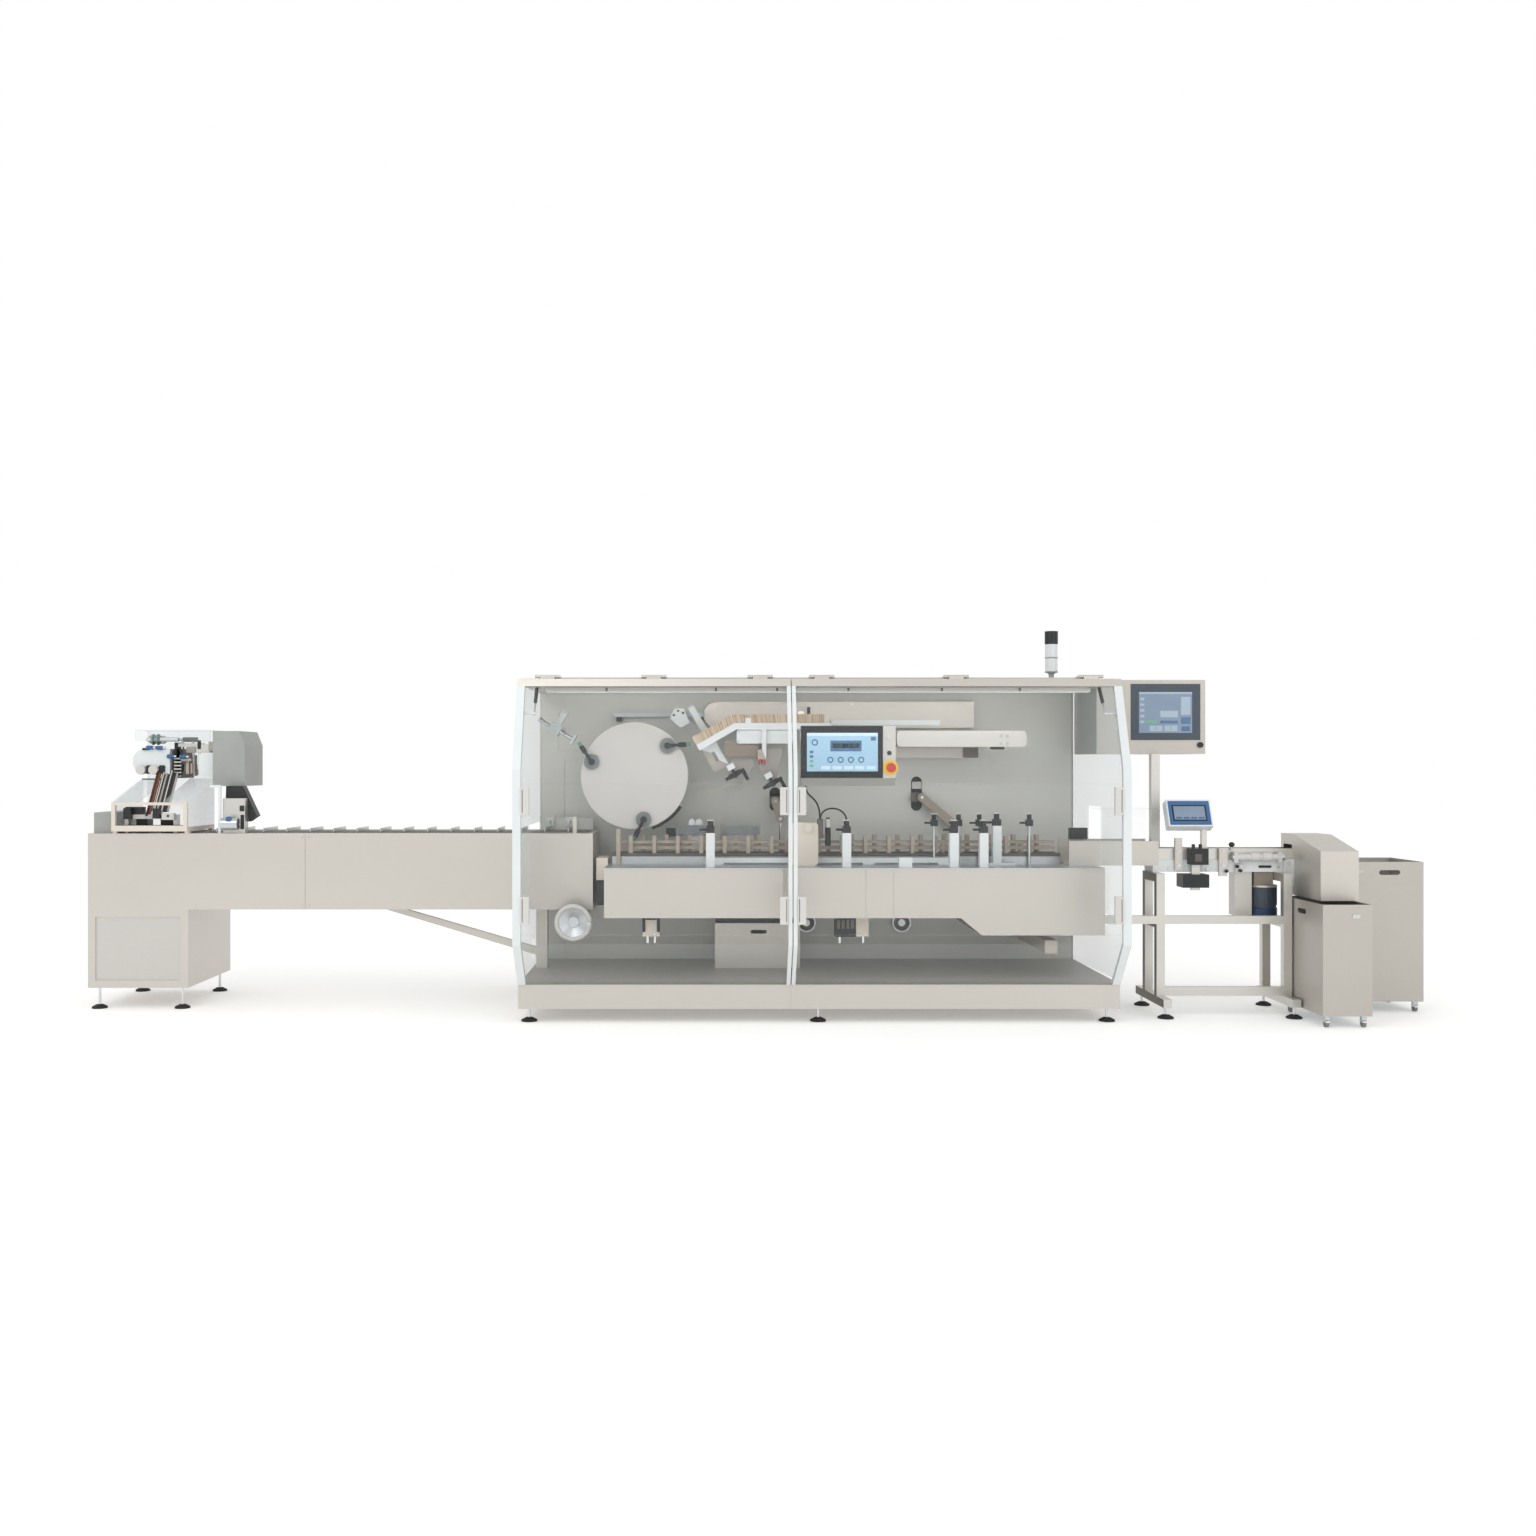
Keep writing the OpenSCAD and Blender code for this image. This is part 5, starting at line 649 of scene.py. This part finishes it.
makePrinterFace()
print("displays made")


# Small parts on the machine, each from its own rows in mm

alongX, alongZ, ahead, inward = (1, 0, 0), (0, 0, 1), (0, -1, 0), (0, 1, 0)


def makePlates(name, piece):  # equal small plates at points
    seed = pointSeed(name, [(spot(*place), way) for place, way in piece["places"]])
    growPiece(name, seed, platesTree, {"Size": [v * mm for v in piece["size"]], "Finish": piece["finish"]}, "machine")


def makeHeads(name, piece):  # equal screw heads at points
    seed = pointSeed(name, [(spot(*place), way) for place, way in piece["places"]])
    growPiece(name, seed, headsTree,
              {"Head": piece["head"] * mm, "Height": piece["height"] * mm, "Washer": piece["washer"] * mm,
               "Sides": piece["sides"], "Finish": piece["finish"]}, "machine")


def makeFixed(name, piece):  # boxes by corners, finish and edge, rounds by diameter, length, finish, edge and bore
    bm = bmesh.new()
    for low, high, finish, edge in piece.get("boxes", ()):
        addBox(bm, spot(*low), spot(*high), finish, edge * mm)
    for centre, axis, diameter, length, finish, edge, bore in piece.get("rounds", ()):
        addRound(bm, spot(*centre), axis, diameter * mm, length * mm, finish, edge * mm, bore * mm)
    for centre, half, tilt, finish, edge in piece.get("tilted", ()):
        turn = Matrix.Translation(spot(*centre)) @ Matrix.Rotation(math.radians(tilt), 4, "X")
        addBox(bm, Vector(half) * -mm, Vector(half) * mm, finish, edge * mm, turn)
    bmeshPiece(name, bm, piece["finishes"], "machine")


capBars = {"size": (34, 26, 5), "finish": whiteAcetal, "slot": "white_plastic", "above": 65}
capBars["places"] = [((x, depth, top + capBars["above"]), alongX) for x, depth, top in postTops]
makePlates("capBars", capBars)

lampClips = {"size": (10, 4, 16), "finish": darkSteelAndShade, "slot": "aluminium_profile",
             "places": [((x, 44, 1664), alongX) for x in (-1061, -513, -206, 151, 620, 1010)]}
makePlates("lampClips", lampClips)

motorFins = {"size": (5, 3, 92), "finish": slateCoat, "slot": "black_plastic", "places": [], "count": 28,
             "axis": (2363, 420), "reach": 71, "middle": 598}
for i in range(motorFins["count"]):
    turn = 2 * math.pi * i / motorFins["count"]
    way = (math.cos(turn), math.sin(turn), 0)
    x, depth = [a + motorFins["reach"] * w for a, w in zip(motorFins["axis"], way)]
    motorFins["places"].append(((x, depth, motorFins["middle"]), way))
makePlates("motorFins", motorFins)

motorCover = {"finishes": [navyCoat, anodised], "slot": "black_plastic", "rounds": [
    ((2363, 420, 517), alongZ, 149, 50, 0, 6, 139),  # fan cover round the motor's foot
    ((2363, 420, 651), alongZ, 148, 12, 1, 2, 139)]}  # flange ring
makeFixed("motorCover", motorCover)

bottleTop = {"finishes": [whiteAcetal, blackAcetalAndShade], "slot": "white_plastic", "rounds": [
    ((75, 390, 980), alongZ, 31.5, 46, 0, 2, 0), ((75, 390, 1006), alongZ, 18, 10, 1, 1, 0)]}
makeFixed("bottleTop", bottleTop)

airPlugs = {"finishes": [redPlastic, blackAcetalAndShade], "slot": "tan_plastic", "rounds": []}
for x, depth in ((-281, 500), (-267, 516), (-253, 500)):
    airPlugs["rounds"] += [((x, depth, 1306), alongZ, 11, 20, 0, 1, 0), ((x, depth, 1293), alongZ, 6, 12, 1, 1, 0)]
makeFixed("airPlugs", airPlugs)

wallDetails = {"finishes": [blackAcetalAndShade, whiteAcetal, anodised], "slot": "black_plastic", "boxes": [
    ((-209, 987, 1058), (-147, 999, 1129), 0, 0.5), ((588, 987, 1058), (650, 999, 1190), 0, 0.5),  # dark plates in the slots: painted shade
    ((592, 958, 1152), (646, 986, 1192), 1, 0.8),  # pale stop above the right slider
    ((967, 575, 1369), (1037, 612, 1383), 0, 0.8)], "rounds": [  # tab under the beam
    ((-12, 600, 1572), alongZ, 18, 50, 0, 2, 0), ((-55, 585, 1556), ahead, 50, 30, 2, 3, 0)]}
wallDetails["rounds"] += [((x, 993, z), inward, 62, 12, 0, 0.5, 0)  # round ends of the painted slot shade
                          for x, z in ((-178, 1058), (-178, 1129), (619, 1058), (619, 1190))]
makeFixed("wallDetails", wallDetails)

magazineRails = {"finishes": [whiteCoat], "slot": "white_paint", "boxes": [
    ((104, 560, 1500), (690, 572, 1526), 0, 0.8), ((104, 608, 1500), (690, 620, 1526), 0, 0.8),  # empty end of the rail
    ((-14, 556, 1526), (48, 624, 1560), 0, 4)]}  # block over the last flats
makeFixed("magazineRails", magazineRails)

valveBlock = {"finishes": [blackAcetalAndShade, darkSteelAndShade], "slot": "black_plastic",
              "boxes": [((103.4, 268, 398), (212, 351, 504.6), 0, 2)]}  # under the transport housing
valveBlock["boxes"] += [((x, 263, 440), (x + 16, 269, 486), 1, 1) for x in (112, 136, 160, 184)]
makeFixed("valveBlock", valveBlock)

cranks = {"crank_left": (-425.3, 508, 1262.7), "crank_right": (-225.3, 508, 1216.7), "turn": 60,
          "lobe": ((18, -15, -43), (44, 15, 43), 8), "cap": (46, 24, 8, 2), "finishes": [blackAcetalAndShade, darkSteelAndShade]}


def makeCrankBosses():
    low, high, edge = cranks["lobe"]  # thick middle of the lobes
    reach, diameter, length, corner = cranks["cap"]
    for body in ("crank_left", "crank_right"):
        turn = Matrix.Translation(spot(*cranks[body])) @ Matrix.Rotation(math.radians(cranks["turn"]), 4, "Y")
        bm = bmesh.new()
        addBox(bm, Vector(low) * mm, Vector(high) * mm, 0, edge * mm, turn)
        addRound(bm, turn @ Vector((reach * mm, 0, 0)), turn.to_3x3() @ Vector(alongX), diameter * mm, length * mm, 1,
                 corner * mm)
        bmeshPiece(body.replace("crank_", "") + "CrankBoss", bm, cranks["finishes"], body)


makeCrankBosses()

holdHoles = {"finishes": [blackAcetalAndShade], "slot": "black_plastic", "foot": (-620.6, 1399.7), "rounds": []}
for way, up in ((-25, 196), (6, 204), (24, 182)):  # holes of the hold-down plate, along the slope and square to it
    x = holdHoles["foot"][0] + 0.866 * way - 0.5 * up
    z = holdHoles["foot"][1] + 0.5 * way + 0.866 * up
    holdHoles["rounds"].append(((x, 691.4, z), ahead, 13, 2, 0, 0.4, 0))
makeFixed("holdHoles", holdHoles)

lampRings = {"finishes": [greyCoat, blackAcetalAndShade], "slot": "black_plastic", "rounds": [
    ((1260, 450, z), alongZ, 67.5, 7, finish, 1, 64.5) for z, finish in ((1777, 0), (1851, 0), (1926, 1))]}
makeFixed("lampRings", lampRings)  # joints between the lamp's sections

stopCheeksAndBoxShade = {"finishes": [blackAcetalAndShade, chromed], "slot": "black_plastic", "boxes": [
    ((-516, 578.4, 436), (-61, 580.6, 457.6), 0, 0.5),  # dark strip at the waste box's top: painted shade of its open inside
    ((-892, 262, 424), (-877, 300, 504.6), 0, 2), ((-817, 262, 424), (-802, 300, 504.6), 0, 2),
    ((-876, 264, 486), (-818, 300, 504.6), 0, 2)], "rounds": [((-829, 266, 412), ahead, 12, 8, 1, 1, 0)]}
makeFixed("stopCheeksAndBoxShade", stopCheeksAndBoxShade)

conveyorDetails = {"finishes": [blackAcetalAndShade, chromed, satinCoolAndShade, whiteAcetal, darkSteelAndShade], "slot": "aluminium_profile",
                   "boxes": [
                       ((2318, 347, 749), (2385, 350.4, 762), 0, 1.5),
                       ((2190, 330, 728), (2235, 350.4, 768), 2, 3),  # bracket under the cylinder
                       ((1952, 282, 851), (1966, 300, 876), 0, 2), ((1988, 282, 851), (2002, 300, 876), 0, 2),
                       ((1962, 276, 786), (2000, 281, 826), 4, 2)],  # camera's face, with two posts above it
                   "rounds": [
                       ((2174, 338, 871), alongZ, 30, 26, 0, 8, 0),  # knob over the second clamp
                       ((2174, 345, 852), alongZ, 10, 20, 1, 1, 0)]}
conveyorDetails["rounds"] += [((x, 348, z), ahead, 14, 6, 1, 1, 0)
                              for x, z in ((2420, 786), (2420, 752), (2270, 786), (2050, 742), (1850, 742))]
conveyorDetails["rounds"] += [((x, 325, 806), alongX, 44, 46, 3, 2, 0) for x in (2290, 2352)]  # cylinder's collars
conveyorDetails["rounds"] += [((x, 322, z), ahead, 17, 16, 0, 2, 0) for x, z in ((2142, 734), (2198, 758), (2214, 736))]
makeFixed("conveyorDetails", conveyorDetails)

binCards = {"finishes": [whiteAcetal], "slot": "white_plastic", "boxes": [
    ((2594, -153, 536), (2632, -149.6, 556), 0, 1.2), ((2815, 317, 722), (2853, 320.4, 742), 0, 1.2)]}
makeFixed("binCards", binCards)  # blank card on each bin

feederDetails = {
    "finishes": [blackAcetalAndShade, blueCoat, chromed, anodised, dullSteel, tanAcetal, whiteAcetal, greenRubber],
    "slot": "aluminium_profile",
    "boxes": [
        ((-3463, 700, 1362), (-3412, 712, 1408), 0, 1), ((-3396, 690, 1352), (-3344, 704, 1384), 4, 1),
        ((-3384, 655, 1236), (-3368, 696, 1308), 5, 1), ((-3362, 660, 1240), (-3350, 696, 1296), 5, 1),
        ((-3410, 694, 1250), (-3336, 700, 1290), 4, 1), ((-3344, 655, 1226), (-3338, 700, 1340), 4, 1),
        ((-3322, 640, 1352), (-3250, 695, 1398), 3, 1), ((-3316, 636, 1372), (-3298, 644, 1420), 0, 1),
        ((-3256, 636, 1360), (-3205, 660, 1412), 4, 1), ((-3616, 640, 1366), (-3580, 652, 1378), 0, 1),
        ((-3686, 822, 1203), (-3550, 834, 1211), 0, 1),  # back edge of the guard
        ((-3031, 456, 1041), (-3007, 461, 1071), 0, 1), ((-3026, 456, 946), (-3008, 461, 1022), 0, 1),
        ((-3640, 440, 1000), (-3600, 470, 1058), 0, 1), ((-3486, 440, 1004), (-3448, 470, 1056), 0, 1),
        ((-3436, 436, 996), (-3372, 470, 1030), 6, 1), ((-3408, 432, 1012), (-3396, 437, 1022), 0, 1),
        ((-3664, 436, 950), (-3320, 472, 968), 0, 1),
        ((-3597, 640, 1238), (-3563, 651, 1284), 0, 4), ((-3528, 640, 1238), (-3494, 651, 1284), 0, 4),  # by the knobs
        ((-3440, 690, 1385), (-3300, 720, 1404), 3, 2), ((-3350, 700, 1230), (-3318, 735, 1262), 3, 2),
        ((-3600, 513, 945), (-3540, 600, 1005), 0, 3), ((-3470, 513, 945), (-3400, 600, 1015), 0, 3)],
    "rounds": [
        ((-3510, 660, 1424), alongX, 24, 170, 2, 2, 0),  # shaft of the belt wheels
        ((-3378, 648, 1313), alongX, 19, 56, 4, 2, 0), ((-3075, 420, 1000), ahead, 30, 30, 1, 2, 0)],
    "tilted": [  # dark bed and two rails of the sloping chute
        ((-3471, 584, 1140), (41, 3, 128), -35.85, 0, 1), ((-3429, 582, 1140), (5, 3, 128), -35.85, 4, 1),
        ((-3485, 580, 1140), (5, 3, 128), -35.85, 4, 1)]}
feederDetails["boxes"] += [((-3452, 660, z), (-3412, 672, z + 7), 3, 1) for z in range(1222, 1318, 19)]  # pale rungs
for x in (-3562, -3535):  # belt wheels with their belts
    feederDetails["rounds"] += [((x, 660, 1424), alongX, 58, 12, 0, 2, 20), ((x, 660, 1424), alongX, 61, 6, 7, 1, 54)]
for x, z in ((-3462, 1332), (-3395, 1330), (-3575, 1380), (-3522, 1378)):  # air fittings
    feederDetails["rounds"] += [((x, 640, z), alongX, 22, 36, 1, 2, 0), ((x + 24, 640, z), alongX, 12, 16, 2, 1, 0)]
feederDetails["rounds"] += [((x, 700, 1330), alongZ, 14, 170, 2, 1, 0) for x in (-3420, -3360, -3325)]  # upright rods
makeFixed("feederDetails", feederDetails)

feedLinks = {"size": (5, 15, 6), "finish": blackAcetalAndShade, "slot": "aluminium_profile", "slope": (0, -0.81, 0.585)}
feedLinks["places"] = [((-3526, 468 + 8.6 * i, 1020 + 12 * i), feedLinks["slope"]) for i in range(20)]
makePlates("feedLinks", feedLinks)

hexBolts = {"head": 6.5, "height": 8, "washer": 9, "sides": 6, "finish": chromed}
boltSpots = [(x, 558.5, z) for x in (1018, 1050) for z in (1401, 1441)]  # beam
boltSpots += [(x, 898.5, z) for x, z in ((640, 1105), (817, 956), (-178, 1085), (-150, 985))]  # links on the wall
boltSpots += [(2472, 338.5, z) for z in (676, 774)]  # conveyor's end plate
boltSpots += [(x, 328.5, z) for x in (1896, 2128) for z in (762, 838)]  # conveyor's clamps
hexBolts["places"] = [(place, ahead) for place in boltSpots]
makeHeads("hexBolts", hexBolts)

panelScrews = {"head": 4.5, "height": 5, "washer": 5.5, "sides": 10, "finish": brushed}
panelScrews["places"] = [((x + dx, depth, 1727), alongZ) for x in (-1350, -821.5, -293, 13, 681.5, 1350)  # door hinges
                         for dx in (-45, -15, 15, 45) for depth in (18, 38)]
frontRows = [(899.5, (-430, -100, 250, 600, 900), (1508, 1624)),  # wall cover
             (169.5, (-1050, -600, 240, 264, 381, 405, 800, 1100, 1440), (525, 738)),  # transport housing
             (519.5, (-390, -100), (1412, 1462)),  # magazine's drive cover
             (419.5, (-2655, -2690, -3250, -1900, -1560), (545, 905))]  # infeed
panelScrews["places"] += [((x, depth, z), ahead) for depth, xs, zs in frontRows for x in xs for z in zs]
makeHeads("panelScrews", panelScrews)

bend = clearSheet("acrylicBendLine", "#d3dbdc", 0.1, 0.3)  # soft line where the bent sheet starts to curve
seams = {"left_door": (-1459, -163), "right_door": (-117, 1459), "z": (1194, 461), "depth": (-195.4, -194.8),
         "half": 1.0, "edge": 0.15}


def makeSeams():
    for body in ("left_door", "right_door"):
        (x0, x1), (front, back) = seams[body], seams["depth"]
        bm = bmesh.new()
        for z in seams["z"]:
            addBox(bm, spot(x0, front, z - seams["half"]), spot(x1, back, z + seams["half"]), 0, seams["edge"] * mm)
        bmeshPiece(body.replace("_door", "") + "BendLines", bm, [bend], body)


makeSeams()
print("small parts made")
